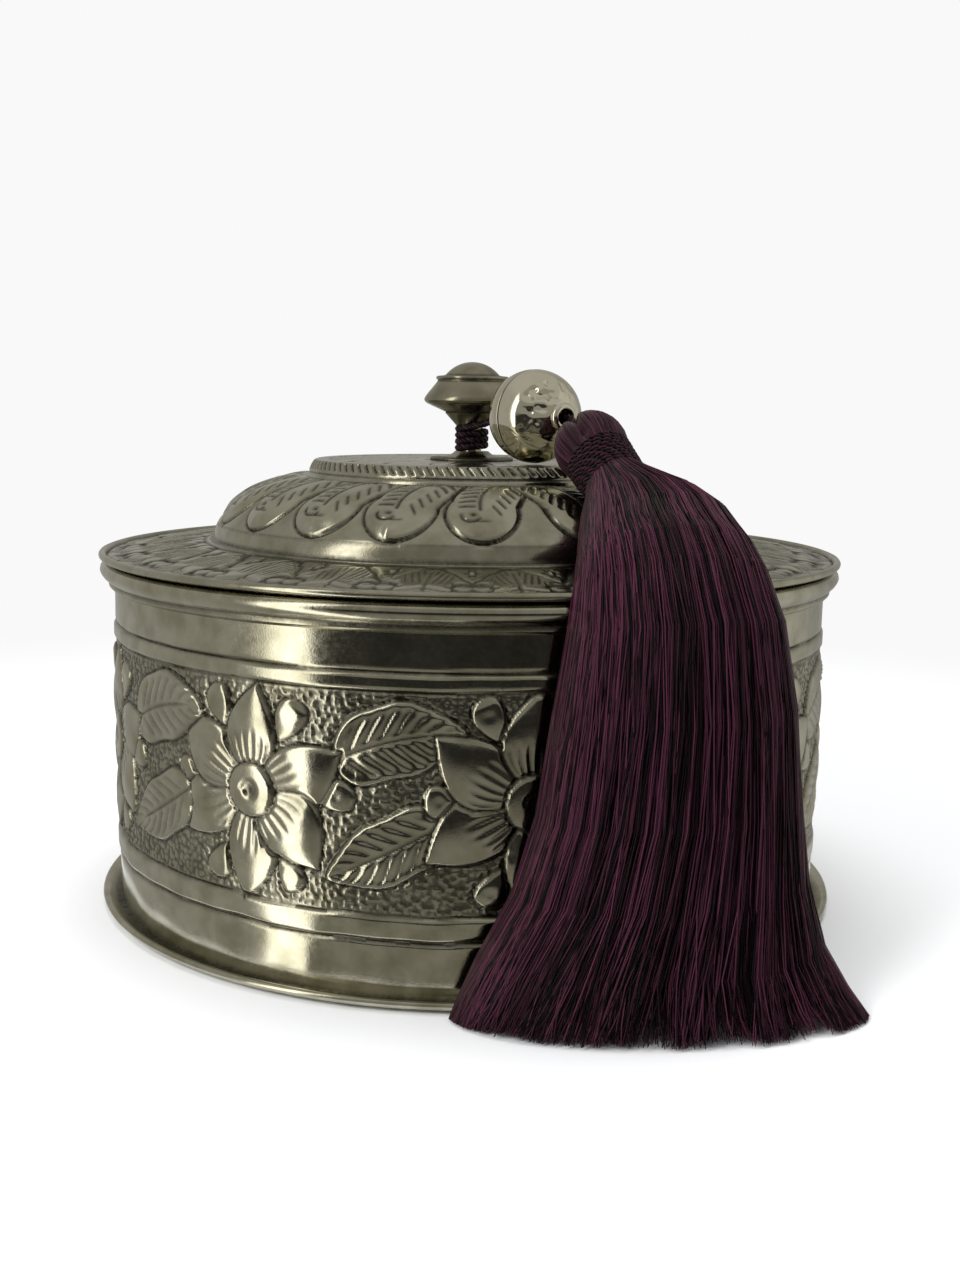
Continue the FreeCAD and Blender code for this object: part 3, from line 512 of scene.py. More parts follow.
def through(first, second, third):
    """Centre and radius of the circle through three points."""
    (ax, ay), (bx, by), (cx, cy) = first, second, third
    twice = 2 * (ax * (by - cy) + bx * (cy - ay) + cx * (ay - by))
    sums = [px * px + py * py for px, py in (first, second, third)]
    x = (sums[0] * (by - cy) + sums[1] * (cy - ay) + sums[2] * (ay - by)) / twice
    y = (sums[0] * (cx - bx) + sums[1] * (ax - cx) + sums[2] * (bx - ax)) / twice
    return x, y, math.hypot(ax - x, ay - y)


# The dome's curve runs through its foot, its shoulder and the crown's edge, as a circle
dome_x, dome_z, dome_round = through(DOME_FOOT, DOME_SHOULDER, DOME_TOP)
dome_first = math.atan2(DOME_TOP[1] - dome_z, DOME_TOP[0] - dome_x)
dome_last = math.atan2(DOME_FOOT[1] - dome_z, DOME_FOOT[0] - dome_x)
dome_outline = [(40.5, 112.6), (40.5, 113.6), (43, 113.6)]
dome_outline += arc(dome_round, np.linspace(dome_first, dome_last, 64), dome_x, dome_z)
dome_outline += [(69.3, 100.4), (69.6, 99.4), (69.85, 98.2), (69.97, 97.2), (70.1, 96.95), (71.0, 96.9),
                 (71.2, 96.6), (71.2, 95.95), (68, 96.15), (68, 100.8)]
dome_outline += arc(dome_round - DOME_SHEET, np.linspace(dome_last, dome_first, 9), dome_x, dome_z)
mesh = turned("lid_dome_chased", dome_outline, DOME_STEPS)
spots = places(mesh)
reach, azimuth = round_axis(spots)
angle = np.arctan2(spots[:, 2] - dome_z, reach - dome_x)
drop = (dome_first - angle) * dome_round
on_curve = np.abs(np.hypot(reach - dome_x, spots[:, 2] - dome_z) - dome_round) < 0.05
outside = on_curve & (drop > -0.1) & (reach > 45.9)
rise, ink = dome_chasing(azimuth, drop)
rise = np.where(outside, rise * ease(0.4, 2.4, drop) * (1 - ease(26.6, 27.6, drop)), 0)
spots = pushed(spots, rise * np.cos(angle))
spots[:, 2] += rise * np.sin(angle)
foot_ink = 0.8 * soft(spots[:, 2] - 97.1, 0.35) * (reach > 69)
put(mesh, wobble(spots, 0.06, 0.4), patina=np.where(outside, ink, np.maximum(foot_ink, 0.12)))
show(mesh, WHITE_METAL, "lid", "white_metal", "lid_dome", corner=60)

# The crown: a shallow cap that closes the dome. Its rim is notched like a rope, and a faint rosette is
# scratched on its flat top, round the knob.
ROPE_NOTCHES, ROSETTE, CROWN_STEPS = 106, 16, 800
CROWN_FOOT, CROWN_TOP, STUD_HOLE = 113.65, 118.2, 2.05
crown_outline = [(44, CROWN_FOOT), (45, CROWN_FOOT)]
crown_outline += [(45 - 0.42 * (height - CROWN_FOOT), height) for height in rows(114.0, 116.9, 0.26)]
crown_outline += [(43.32, 117.35), (43.05, 117.75), (42.7, 118.02), (42.2, 118.18)]
crown_outline += [(reach, CROWN_TOP) for reach in rows(41.6, 12, 0.75) + [STUD_HOLE]]
crown_outline += [(STUD_HOLE, 117.2), (42.3, 117.2), (42.9, 116.6)]
mesh = turned("lid_crown_notched", crown_outline, CROWN_STEPS)
spots = places(mesh)
reach, azimuth = round_axis(spots)
skirt = (spots[:, 2] > 113.8) & (reach > 43.0)
lane = (azimuth * ROPE_NOTCHES / (2 * math.pi) + 0.32 * (spots[:, 2] - 115.5)) % 1 - 0.5
band = ease(115.6, 116.2, spots[:, 2]) * ease(0, 0.7, 118.3 - spots[:, 2])
notch = np.where(skirt, band * soft(lane, 0.2), 0)
step = np.where(skirt, soft(spots[:, 2] - 114.9, 0.3), 0)
flat = (spots[:, 2] > 118.1) & (reach < 42.3)
ray = np.abs((azimuth * ROSETTE / (2 * math.pi)) % 1 - 0.5) * 2
petal_edge = 17 + 20 * np.sqrt(np.clip(1 - ray ** 2, 0, 1))
rings = np.maximum(soft(reach - petal_edge, 0.7), soft(reach - 38.5, 0.6))
spokes = np.where((reach > 18) & (reach < 33), soft(ray * reach * 0.19, 0.5), 0)
scratch = np.where(flat, np.maximum(rings, spokes), 0)
spots = pushed(spots, -(0.7 * notch + 0.3 * step))
spots[:, 2] -= 0.22 * scratch
inky = np.maximum(np.maximum(notch, 0.75 * step), 0.6 * scratch)
inky = np.where(flat & (reach < 13.5), np.maximum(inky, 0.5), inky)
put(mesh, spots, patina=np.maximum(inky, 0.1))
show(mesh, WHITE_METAL, "lid", "white_metal", "lid_crown", corner=60)

# The knob: cast and turned in the same metal, left dull, on a flared foot. Fine turned lines part its cone,
# its waist and its cap. The stud, washer and nut that hold it inside the lid are plain plated steel.
KNOB_METAL = aged_metal("dull_turned_metal", "#A9A493", "#8F8A77", "#1F1C15", 0.2, 1.3)


def lines_at(*heights):
    """Patina in the turned lines at these heights."""
    return lambda reach, height: np.max([0.8 * soft(height - line, 0.25) for line in heights], axis=0)


KNOB_FOOT, KNOB_TOP, CAP_RADIUS, CAP_RISE = 120.6, 144.6, 7.2, 3.35
plain_piece("knob_foot_turned", [
    (STUD_HOLE, CROWN_TOP), (11.2, CROWN_TOP), (11.4, 118.35), (11.4, 118.75), (11.15, 118.92), (9.6, 118.98),
    (8.2, 119.1), (7.0, 119.3), (6.0, 119.6), (5.2, 120.05), (4.6, KNOB_FOOT), (STUD_HOLE, KNOB_FOOT)],
    160, 0.03, 0.5, lines_at(118.25, 118.95), KNOB_METAL, "lid", "white_metal", "knob_foot")
knob_outline = [
    (STUD_HOLE, KNOB_FOOT), (2.6, KNOB_FOOT), (2.6, 127.0), (3.8, 127.1), (4.2, 127.4), (5.1, 128.4),
    (6.2, 129.6), (7.2, 130.7), (7.35, 130.9), (7.2, 131.1), (7.45, 131.25), (9.3, 132.05), (11.0, 132.8),
    (12.2, 133.35), (12.85, 133.8), (13.1, 134.25), (13.05, 134.7), (12.75, 135.3), (12.25, 136.0),
    (11.65, 136.75), (11.0, 137.55), (10.3, 138.4), (9.75, 139.1), (9.5, 139.42), (9.5, 139.72),
    (9.8, 139.95), (9.92, 140.3), (9.8, 140.62), (9.4, 140.8), (8.2, 140.9), (7.4, 141.05),
    (CAP_RADIUS, 141.25)]
cap_round = (CAP_RADIUS ** 2 + CAP_RISE ** 2) / (2 * CAP_RISE)
for reach in rows(6.9, 0, 0.6):
    knob_outline.append((reach, KNOB_TOP - cap_round + math.sqrt(cap_round ** 2 - reach ** 2)))
knob_outline += [(0, 133.6), (STUD_HOLE, 133.6)]
plain_piece("knob_turned", knob_outline, 160, 0.02, 1.1, lines_at(131.1, 139.55, 141.0), KNOB_METAL,
            "lid", "white_metal", "knob")
steel, tree, spot = new_material("zinc_plated_steel")
mottle = noise(tree, spot, 0.8, 3)
sheen = remap(tree, mottle, 0, 1, 0.25, 0.45)
shader = add(tree, "BsdfPrincipled", {"Base Color": colour("#A9ABA8"), "Metallic": 1, "Roughness": sheen})
add(tree, "OutputMaterial", {"Surface": shader})
for name in ("knob_stud", "knob_washer", "knob_nut"):
    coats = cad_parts[name].data.materials
    coats.clear()
    coats.append(steel)


# The cord: three plies of dark silk, twisted hard, wound on the knob's neck and led through the bead. A short
# end of the same cord goes on into the tassel's head.
def silk(name, dark, light, rough):
    """Dyed silk: a dark ground with a soft gloss along the fibre, lighter on some threads than others, and on
    the tassel's head darker in its grooves and crease as painted shade, all read from the strand mark.
    """
    material, tree, spot = new_material(name)
    strand = add(tree, "Attribute", attribute_name="strand").outputs["Fac"]
    fleck = noise(tree, spot, 2.5, 2)
    blend = add(tree, "Math", {0: fleck, 1: 0.15, 2: strand}, operation="MULTIPLY_ADD")
    # The strand mark is each thread's own tone, and on the folded head it is painted shade in the grooves and
    # the crease.
    dye = blended(tree, remap(tree, blend, 0.42, 1.22), colour(dark), colour(light))
    shader = add(tree, "BsdfPrincipled", {
        "Base Color": dye, "Roughness": rough, "Specular IOR Level": 0.24,
        "Sheen Weight": 0.04, "Sheen Roughness": 0.35, "Sheen Tint": colour("#7A3C5E")})
    add(tree, "OutputMaterial", {"Surface": shader})
    return material


def drawn(path):
    """The mesh that a curve draws; the curve itself is dropped."""
    holder = bpy.data.objects.new(path.name, path)
    mesh = bpy.data.meshes.new_from_object(holder)
    bpy.data.objects.remove(holder)
    bpy.data.curves.remove(path)
    return mesh


def spline_points(corners, resolution):
    """Points in mm along the smooth curve that a route's corners pull."""
    path = bpy.data.curves.new("route", "CURVE")
    path.dimensions = "3D"
    path.resolution_u = resolution
    line = path.splines.new("NURBS")
    line.points.add(len(corners) - 1)
    for point, corner in zip(line.points, corners):
        point.co = (*(Vector(corner) * MM), 1)
    line.order_u = 3
    line.use_endpoint_u = True
    mesh = drawn(path)
    points = places(mesh)
    bpy.data.meshes.remove(mesh)
    return points


GOLDEN_SHARE = 0.618034


def tubes(name, lines, radius, sides, thickness=None):
    """One mesh of round threads along lines of points in mm, each marked with its own number from 0 to 1."""
    path = bpy.data.curves.new(name, "CURVE")
    path.dimensions = "3D"
    path.bevel_depth = radius * MM
    path.bevel_resolution = sides
    path.use_fill_caps = True
    for line in lines:
        thread = path.splines.new("POLY")
        thread.points.add(len(line) - 1)
        spots = np.column_stack((line * MM, np.ones(len(line))))
        thread.points.foreach_set("co", spots.astype(np.float32).ravel())
        if thickness is not None:
            thread.points.foreach_set("radius", thickness.astype(np.float32))
    mesh = drawn(path)
    mesh.name = name
    each = len(mesh.vertices) // len(lines)
    number = np.minimum(np.arange(len(mesh.vertices)) // each, len(lines) - 1)
    mark(mesh, "strand", (number * GOLDEN_SHARE) % 1)
    return mesh


def plies(points, count, lay, pitch):
    """Lines in mm that twist round a route, lay mm from its middle, once in each pitch."""
    heading = np.gradient(points, axis=0)
    heading /= np.linalg.norm(heading, axis=1)[:, None]
    side = np.cross(heading[0], (0, 0, 1))
    if np.linalg.norm(side) < 0.1:
        side = np.cross(heading[0], (1, 0, 0))
    sides = []
    for direction in heading:
        side = side - direction * side.dot(direction)
        side /= np.linalg.norm(side)
        sides.append(side)
    sides = np.array(sides)
    uppers = np.cross(heading, sides)
    travel = np.concatenate(([0], np.cumsum(np.linalg.norm(np.diff(points, axis=0), axis=1))))
    lines = []
    for ply in range(count):
        turn = 2 * math.pi * (travel / pitch + ply / count)
        lines.append(points + lay * (sides * np.cos(turn)[:, None] + uppers * np.sin(turn)[:, None]))
    return lines


SILK_CORD = silk("twisted_silk_cord", "#0A0407", "#482033", 0.36)
BEAD_AZIMUTH, LEVEL, PIVOT_REACH = 35, 130.5, 43.5
BEAD_TURN = math.radians(BEAD_AZIMUTH)
lead = np.array((math.sin(BEAD_TURN), -math.cos(BEAD_TURN), 0))
WIND_RADIUS, WIND_PITCH, WIND_TURNS, FIRST_ROW, ENTRY = 3.7, 1.7, 3.26, 121.3, 15.5
last_turn = BEAD_AZIMUTH - math.degrees(math.acos(WIND_RADIUS / ENTRY))
route = []
for share in np.linspace(0, 1, 52):
    turn = math.radians(last_turn - 360 * WIND_TURNS * (1 - share))
    height = FIRST_ROW + WIND_PITCH * WIND_TURNS * share
    route.append((WIND_RADIUS * math.sin(turn), -WIND_RADIUS * math.cos(turn), height))
route += [(3.2, -7.8, 128.1)] + [tuple(lead * reach + (0, 0, LEVEL)) for reach in (ENTRY, 24, 33, 42.6)]
cord = tubes("twisted_cord", plies(spline_points(route, 10), 3, 0.5, 4), 0.55, 1)
show(cord, SILK_CORD, "cord", "silk_cord", "knob_cord", corner=80)

# The bead: two thin half shells, polished, that have been knocked about, with a lipped eyelet in each hole.
# The inner half is milled finely beside the seam.
bead_metal, tree, spot = new_material("polished_white_metal")
film = noise(tree, spot, 5, 3)
patina = add(tree, "Attribute", attribute_name="patina").outputs["Fac"]
ripple = noise(tree, spot, 1.6, 2)
tint = blended(tree, film, colour("#E6E2D2"), colour("#D2CCB4"))
skin = blended(tree, patina, tint, colour("#1E1A12"))
gloss = remap(tree, film, 0, 1, 0.03, 0.13)
bump = add(tree, "Bump", {"Height": ripple, "Strength": 0.15, "Distance": 0.1 * MM})
shader = add(tree, "BsdfPrincipled", {"Base Color": skin, "Metallic": 1, "Roughness": gloss, "Normal": bump})
add(tree, "OutputMaterial", {"Surface": shader})
BEAD_RADIUS, BEAD_INSIDE, DENTS, DEEP_DENTS, MILLED_TEETH = 12, 11.2, 150, 70, 60
bead_centre = Vector((*(lead * 28.6)[:2], LEVEL))


def stood(direction):
    """The turn that stands a piece's own Z along a direction, with its X level."""
    upright = Vector(direction).normalized()
    level = Vector((0, 0, 1)).cross(upright).normalized()
    return Matrix((level, upright.cross(level), upright)).transposed()


dice = np.random.default_rng(8)
dents = []
for dent in range(DENTS):
    knocked = dent < DEEP_DENTS
    turn = dice.normal(2.4, 0.6) if knocked else dice.uniform(0, 2 * math.pi)
    lift = dice.uniform(0.55, 0.93)
    level = math.sqrt(1 - lift ** 2)
    towards = np.array((level * math.cos(turn), level * math.sin(turn), lift))
    depth = dice.uniform(0.1, 0.3) if knocked else dice.uniform(0.03, 0.12)
    dents.append((towards, depth, dice.uniform(0.06, 0.12)))
LIP_OUTLINE = [(2.1, 10.7), (2.85, 10.7), (2.9, 11.6), (3.4, 11.7), (3.68, 11.85), (3.62, 12.2), (3.35, 12.65),
               (2.95, 12.95), (2.55, 12.98), (2.2, 12.75)]
for side, sign in (("outer", 1), ("inner", -1)):
    outline = arc(BEAD_RADIUS, np.linspace(0.012, 1.322, 60)) + arc(BEAD_INSIDE, np.linspace(1.304, 0.012, 16))
    mesh = turned(f"bead_{side}_shell", outline, 240)
    spots = places(mesh)
    reach = np.linalg.norm(spots, axis=1)
    unit = spots / reach[:, None]
    skin_side = ease(11.4, 11.9, reach)
    sunk = np.zeros(len(spots))
    for towards, depth, spread in dents:
        struck = depth * (1 if side == "outer" else 0.3)
        sunk += struck * np.exp(-((1 - unit @ towards) / (spread ** 2 / 2)))
    sunk *= ease(0.06, 0.25, unit[:, 2]) * (1 - ease(0.92, 0.97, unit[:, 2]))
    lane = np.abs(np.sin(MILLED_TEETH * np.arctan2(spots[:, 1], spots[:, 0])))
    milled = soft(spots[:, 2] - 1.3, 0.8) * (side == "inner") * lane
    seam = soft(spots[:, 2], 0.3)
    depth = skin_side * (sunk + 0.2 * milled + 0.3 * seam)
    spots -= unit * depth[:, None]
    turn_to = np.array(stood(lead * sign))
    put(mesh, spots @ turn_to.T + np.array(bead_centre), patina=np.maximum(0.85 * seam, 0.35 * milled))
    show(mesh, bead_metal, "bead", "bead_metal", f"bead_{side}_half", corner=70)
    mesh = turned(f"bead_{side}_lip", LIP_OUTLINE, 96)
    spots = places(mesh)
    put(mesh, spots @ turn_to.T + np.array(bead_centre),
        patina=0.8 * (np.hypot(spots[:, 0], spots[:, 1]) < 2.15) + 0.4 * (spots[:, 2] < 11.8))
    show(mesh, bead_metal, "bead", "bead_metal", f"bead_{side}_eyelet", corner=50)

# The tassel's head: the threads folded over the knotted cord, so that it shows as two smooth lobes with a
# crease between, bound round the neck with fine twisted cord. Its threads are drawn coarser than real silk.
SILK_THREAD = silk("tassel_silk", "#050203", "#56293D", 0.3)
TASSEL_TURN, TASSEL_DIP = math.radians(22.5), math.radians(31)
tassel_axis = np.array((
    math.sin(TASSEL_TURN) * math.cos(TASSEL_DIP), -math.cos(TASSEL_TURN) * math.cos(TASSEL_DIP),
    -math.sin(TASSEL_DIP)))
pivot = lead * PIVOT_REACH + (0, 0, LEVEL)
tassel_stand = np.array(stood(tassel_axis))
tie = [tuple(pivot + tassel_axis * along) for along in (0.3, 2, 4, 6.5, 9, 12)]
mesh = tubes("tassel_cord_end", plies(spline_points(tie, 10), 3, 0.42, 3.6), 0.46, 1)
show(mesh, SILK_CORD, "tassel", "silk_cord", "tassel_tie", corner=80)
head_outline = [
    (1.5, 7.0), (1.6, 6.1), (2.2, 5.65), (3.3, 5.65), (4.6, 6.1), (5.9, 7.1), (6.9, 8.4), (7.7, 9.8),
    (8.25, 11.4), (8.5, 13.1), (8.5, 14.8), (8.3, 16.7), (7.95, 18.4), (7.5, 19.8), (7.2, 20.6), (7.0, 24),
    (6.6, 27), (0, 27), (0, 15)]
CREASE, HEAD_THREADS, BINDING_TURNS, TURN_STEPS = math.radians(-50), 420, 9, 16


def creased(turn, reach, along):
    """How near a point of the head is to the crease, and how fully it belongs to the round of the lobes."""
    gaps = [np.angle(np.exp(1j * (turn - CREASE - flip))) for flip in (0, math.pi)]
    return sum(soft(gap, 0.2) for gap in gaps), ease(1.8, 5, reach) * ease(0, 5, 19 - along)


fine = [head_outline[0]]
for first, second in zip(head_outline, head_outline[1:]):
    fine += [tuple(np.add(first, np.subtract(second, first) * share)) for share in (1 / 3, 2 / 3, 1)]
mesh = turned("tassel_head_folded", fine, 480)
spots = places(mesh)
turn, reach = np.arctan2(spots[:, 1], spots[:, 0]), np.hypot(spots[:, 0], spots[:, 1])
crease, body = creased(turn, reach, spots[:, 2])
lobe = 1 + body * (0.04 - 0.34 * crease)
strand = np.abs(np.sin(54 * turn + 0.6 * np.sin(5 * turn)))
scale = lobe + 0.14 * strand * ease(2, 4, reach) / np.maximum(reach, 1)
spots[:, :2] *= scale[:, None]
spots[:, 2] += body * crease * 1.2
# Painted shade: the head is coloured darker in the grooves between its folds and in the crease between its
# lobes, and lighter on the ridges.
painted_shade = 0.1 + 0.5 * strand - 0.3 * crease * body
put(mesh, spots @ tassel_stand.T + pivot, strand=painted_shade)
show(mesh, SILK_THREAD, "tassel", "silk_thread", "tassel_head", corner=80)
folds = []
dice = np.random.default_rng(21)
profile = np.array(head_outline[2:17])
for turn in np.linspace(-math.pi, math.pi, HEAD_THREADS, endpoint=False):
    reach, along = profile[:, 0] + dice.uniform(-0.12, 0.1), profile[:, 1]
    sway = turn + dice.normal(0, 0.006) + dice.normal(0, 0.012) * (along - 12) / 8
    crease, body = creased(sway, reach, along)
    reach = reach * (1 + body * (0.04 - 0.34 * crease))
    line = np.column_stack((reach * np.cos(sway), reach * np.sin(sway), along + body * crease * 1.2))
    folds.append(line @ tassel_stand.T + pivot)
mesh = tubes("tassel_head_threads", folds, 0.13, 0)
show(mesh, SILK_THREAD, "tassel", "silk_thread", corner=100)
winding = []
for step in range(BINDING_TURNS * TURN_STEPS + 1):
    turn, share = 2 * math.pi * step / TURN_STEPS, step / (BINDING_TURNS * TURN_STEPS)
    around = 8.05 - 0.5 * share
    corner = (around * math.cos(turn), around * math.sin(turn), 19.2 + 10.6 * share)
    winding.append(tuple(pivot + tassel_stand @ corner))
mesh = tubes("tassel_binding_cord", plies(spline_points(winding, 5), 2, 0.3, 2.6), 0.36, 1)
show(mesh, SILK_CORD, "tassel", "silk_cord", "tassel_binding", corner=80)

# The tassel's skirt: thousands of fine silk threads that spread from the neck, drape over the brim and fan
# out on the table, where they are cut off a little unevenly. They are drawn coarser than real silk, to show.
EDGE_RADIUS, THREADS, THREAD_RADIUS = 100, 1450, 0.17
neck_end = pivot + tassel_axis * 30.3
level_across = np.array((math.cos(TASSEL_TURN), math.sin(TASSEL_TURN), 0))
stations = [(neck_end - tassel_axis * 4, level_across, np.cross(tassel_axis, level_across), 6.9, 6.9),
            (neck_end + tassel_axis * 0.5, level_across, np.cross(tassel_axis, level_across), 7.9, 7.9)]
for beyond, height, azimuth, heading, dip, wide, deep in (
        (-21, 108.3, 32, 30, 30, 19, 10), (-10, 102.7, 29, 26, 32, 21.5, 10.8), (-2, 97.1, 27, 23, 50, 23, 13),
        (1, 86.3, 27, 22, 80, 26, 16), (2, 62.2, 27, 21, 90, 30, 18), (3, 35.8, 26, 18, 90, 33, 19),
        (4.6, 14.1, 24, 11, 90, 40, 20), (8.2, 0.6, 24, 3, 90, 47, 19)):
    turn, face, fall = math.radians(azimuth), math.radians(heading), math.radians(dip)
    centre = np.array((math.sin(turn), -math.cos(turn), 0)) * (EDGE_RADIUS + beyond) + (0, 0, height)
    across = np.array((math.cos(face), math.sin(face), 0))
    down = np.array((math.sin(face) * math.cos(fall), -math.cos(face) * math.cos(fall), -math.sin(fall)))
    stations.append((centre, across, np.cross(down, across), wide, deep))


def clear(spots):
    """True where points stand clear of the box and its lid by the thickness of the inner threads."""
    reach, height = np.hypot(spots[..., 0], spots[..., 1]), spots[..., 2]
    surface = np.interp(reach, (0, 45.6, 46, 59.8, 69.6, 71.8, 98, 101),
                        (119, 119, 115.4, 112.6, 103, 98.2, 95.6, 95.6))
    return (reach > np.where(height < 4, 102.2, 101.2)) | (height > surface)


def thread_lines(across_share, depth_share, seed):
    """Lines in mm for threads that keep their share of the bundle's width and depth all the way down, drawn
    together into locks towards the hem. A few go astray, and each is cut off where it likes."""
    dice = np.random.default_rng(seed)
    count, last = len(across_share), len(stations) - 1
    stray = dice.normal(0, 0.1, count) * (dice.uniform(0, 1, count) > 0.96)
    trial = np.linspace(-1, 1, 41)
    corners = []
    for index, (centre, across, outward, wide, deep) in enumerate(stations):
        slack, hung = 0.01 + 0.002 * index, (index / last) ** 2
        locks = sum(np.sin(waves * across_share + 0.3 * index + 5 * depth_share + phase) / waves
                    for waves, phase in ((17, 0.5), (31, 2.1), (53, 4.4)))
        u = across_share + dice.normal(0, 1, count) * slack + hung * (stray + 0.85 * locks)
        u = np.clip(u, -0.995, 0.995)
        limit = np.sqrt(1 - u ** 2)
        lines = trial[None, :] * limit[:, None]
        grid = centre + across * (u * wide)[:, None, None] + outward * (lines * deep)[:, :, None]
        free = np.flip(np.cumprod(np.flip(clear(grid), axis=1), axis=1), axis=1)
        low = np.take_along_axis(lines, np.argmax(free, axis=1)[:, None], axis=1)[:, 0]
        depth = depth_share + dice.normal(0, 0.012, count) + 0.5 * hung * stray
        v = low + (limit - low) * np.clip(depth, 0, 1)
        corners.append(centre + across * (u * wide)[:, None] + outward * (v * deep)[:, None])
    corners = np.array(corners)
    cut = 0.32 * dice.uniform(0, 1, count) ** 3 + 0.06 * (1 + np.sin(13 * across_share + 3 * depth_share + 2))
    threads = np.arange(count)
    lines = []
    for stop in (0, 0.6, 1.2, 1.8, 2.4, 3, 3.6, 4.2, 5, 5.8, 6.6, 7.3, 8, 8.5, 9):
        reached = np.minimum(stop, last - cut * stop / last)
        base = np.minimum(reached.astype(int), last - 1)
        share = (reached - base)[:, None]
        before, start = corners[np.maximum(base - 1, 0), threads], corners[base, threads]
        end, after = corners[base + 1, threads], corners[np.minimum(base + 2, last), threads]
        bend = 2 * before - 5 * start + 4 * end - after
        twist = 3 * start - before - 3 * end + after
        lines.append(0.5 * (2 * start + (end - before) * share + bend * share ** 2 + twist * share ** 3))
    lines = np.array(lines).transpose(1, 0, 2)
    lines[:, :, 2] = np.maximum(lines[:, :, 2], 0.3)
    return lines


taper = np.concatenate((np.ones(13), (0.9, 0.6)))
for layer, (least, most) in enumerate(((0.9, 1), (0.78, 0.94), (0.6, 0.82), (0.3, 0.62), (0, 0.34))):
    dice = np.random.default_rng(40 + layer)
    spread = np.sin(dice.uniform(-1, 1, THREADS) * math.pi / 2 * 0.985)
    lines = thread_lines(spread, dice.uniform(least, most, THREADS), 60 + layer)
    mesh = tubes(f"tassel_threads_{layer + 1}", list(lines), THREAD_RADIUS, 0, taper)
    nodes = ["tassel_skirt"] if layer == 0 else []
    show(mesh, SILK_THREAD, "tassel", "silk_thread", *nodes, corner=100)


# The stage: a pale floor that fades into a white background, a tent of card that only gloss sees, dark in
# front and bright at one side as a window is, and soft lamps.
def seen_itself(tree):
    """1 on rays that show a thing itself: from the camera, by gloss or through glass."""
    path = add(tree, "LightPath")
    seen = path.outputs["Is Camera Ray"]
    for ray in ("Is Glossy Ray", "Is Transmission Ray"):
        seen = add(tree, "Math", {0: seen, 1: path.outputs[ray]}, operation="MAXIMUM")
    return seen


floor_mesh = bpy.data.meshes.new("floor")
sheet = bmesh.new()
bmesh.ops.create_grid(sheet, x_segments=1, y_segments=1, size=6)
sheet.to_mesh(floor_mesh)
sheet.free()
floor = bpy.data.objects.new("floor", floor_mesh)
scene.collection.objects.link(floor)
paper, tree, spot = new_material("pale_paper")
away = add(tree, "VectorMath", {0: spot}, operation="LENGTH")
far = remap(tree, away, 0.12, 0.5, interpolation_type="SMOOTHSTEP")
fade = add(tree, "Math", {0: seen_itself(tree), 1: far}, operation="MULTIPLY")
matt = add(tree, "BsdfDiffuse", {"Color": colour("#F4F4F4")})
glow = add(tree, "Emission", {"Color": colour("#F9F9F9"), "Strength": 1})
mixed = add(tree, "MixShader", {0: fade, 1: matt, 2: glow})
add(tree, "OutputMaterial", {"Surface": mixed})
floor_mesh.materials.append(paper)
tent_outline = [(108, 0.2), (350, 0.2), (900, 20), (1200, 350), (1150, 800), (700, 1250), (0, 1350)]
tent_mesh = turned("card_tent", tent_outline, 96, closed=False)
tent = bpy.data.objects.new("card_tent", tent_mesh)
scene.collection.objects.link(tent)
card, tree, spot = new_material("tent_card")
strip_side = add(tree, "VectorMath", {0: spot, 1: (0.0145, 0.0691, 0)}, operation="ADD")
split = add(tree, "SeparateXYZ", {"Vector": strip_side})
front = add(tree, "Math", {0: split.outputs["Y"], 1: -1}, operation="MULTIPLY")
turn = add(tree, "Math", {0: split.outputs["X"], 1: front}, operation="ARCTAN2")
round_share = remap(tree, turn, -math.pi, math.pi)
ramp = add(tree, "ValToRGB", {"Fac": round_share})
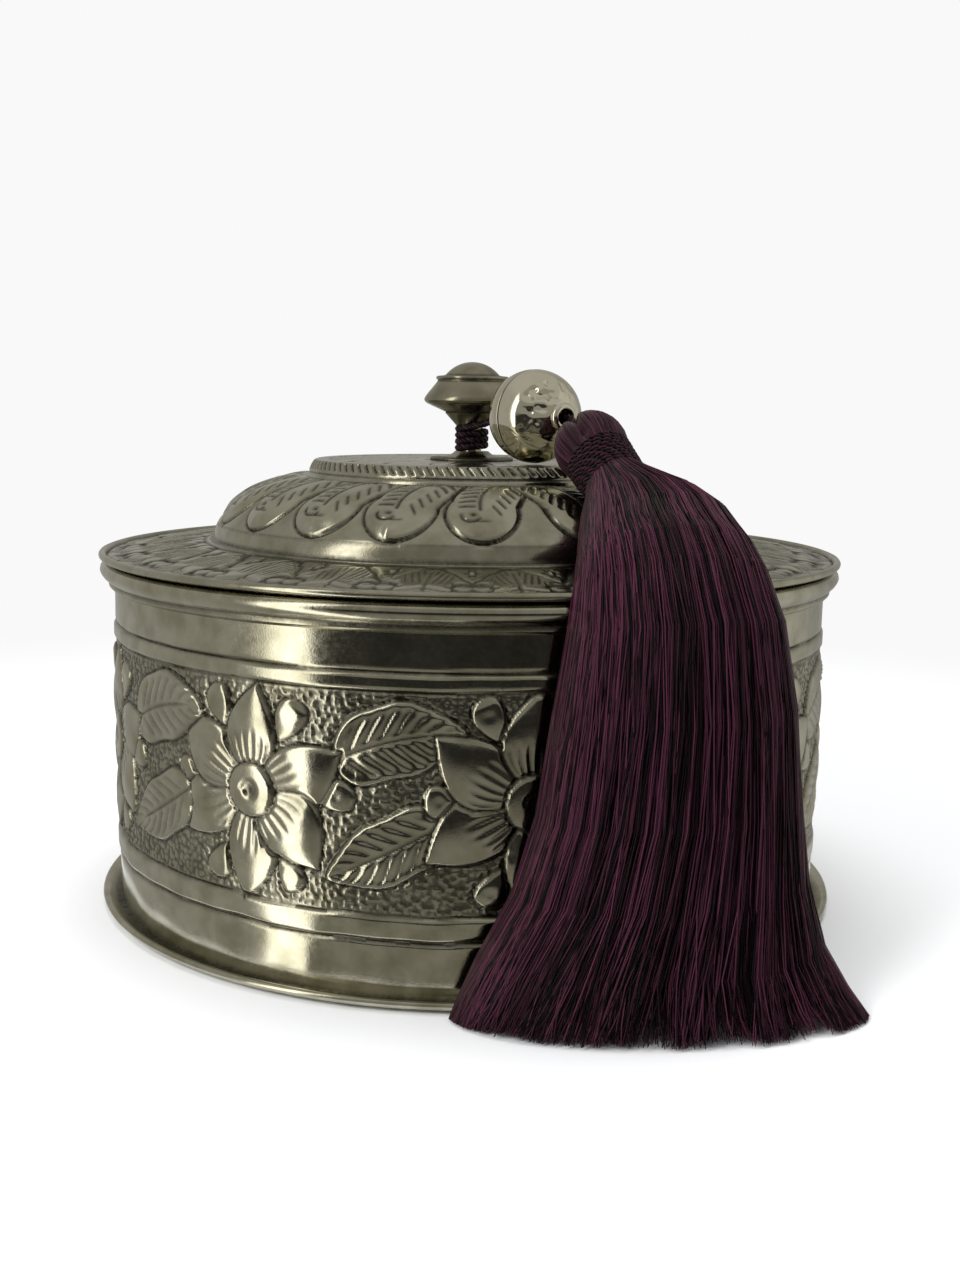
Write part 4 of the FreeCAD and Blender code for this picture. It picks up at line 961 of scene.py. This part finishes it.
cards = ((-180, 0.18), (-125, 0.18), (-70, 0.17), (-65, 0.34), (-63, 1.15), (-48, 1.15), (-46.5, 0.04),
         (-35, 0.015), (35, 0.012), (50, 0.05), (65, 0.24), (115, 0.25), (140, 0.14), (165, 0.16), (180, 0.18))
while len(ramp.color_ramp.elements) < len(cards):
    ramp.color_ramp.elements.new(0.5)
for element, (azimuth, level) in zip(ramp.color_ramp.elements, cards):
    element.position = (azimuth + 180) / 360
    element.color = (level, level * 0.975, level * 0.9, 1)
away = add(tree, "VectorMath", {0: spot}, operation="LENGTH")
near = remap(tree, away, 0.14, 0.42, 1, 0, interpolation_type="SMOOTHSTEP")
rising = remap(tree, split.outputs["Z"], 0.12, 0.3, interpolation_type="SMOOTHSTEP")
lit = ramp
for factor, haze in ((near, (0.13, 0.125, 0.11, 1)), (rising, (0.13, 0.127, 0.115, 1))):
    lit = blended(tree, factor, lit, haze, blend_type="LIGHTEN")
high = remap(tree, split.outputs["Z"], 0.9, 1.2, interpolation_type="SMOOTHSTEP")
lit = blended(tree, high, lit, (0.2, 0.195, 0.18, 1))
glow = add(tree, "Emission", {"Color": lit, "Strength": 2.3})
add(tree, "OutputMaterial", {"Surface": glow})
tent_mesh.materials.append(card)
for ray in ("camera", "diffuse", "transmission", "volume_scatter", "shadow"):
    setattr(tent, f"visible_{ray}", False)
world = bpy.data.worlds.new("white_room")
scene.world = world
world.use_nodes = True
tree = world.node_tree
tree.nodes.clear()
fill = add(tree, "Background", {"Color": colour("#F2F4F8"), "Strength": 0.55})
white = add(tree, "Background", {"Color": colour("#F9F9F9"), "Strength": 1})
mixed = add(tree, "MixShader", {0: seen_itself(tree), 1: fill, 2: white})
add(tree, "OutputWorld", {"Surface": mixed})
for name, place, size, power in (
        ("window", (-0.75, -0.75, 0.75), 0.5, 11), ("ceiling", (0.1, 0.15, 1.2), 0.9, 11)):
    lamp = bpy.data.lights.new(name, "AREA")
    lamp.size = size
    lamp.energy = power
    holder = bpy.data.objects.new(name, lamp)
    holder.location = place
    holder.visible_glossy = False
    holder.rotation_euler = (Vector((0, 0, 0.05)) - Vector(place)).to_track_quat("-Z", "Y").to_euler()
    scene.collection.objects.link(holder)
scene.view_settings.view_transform = "Standard"
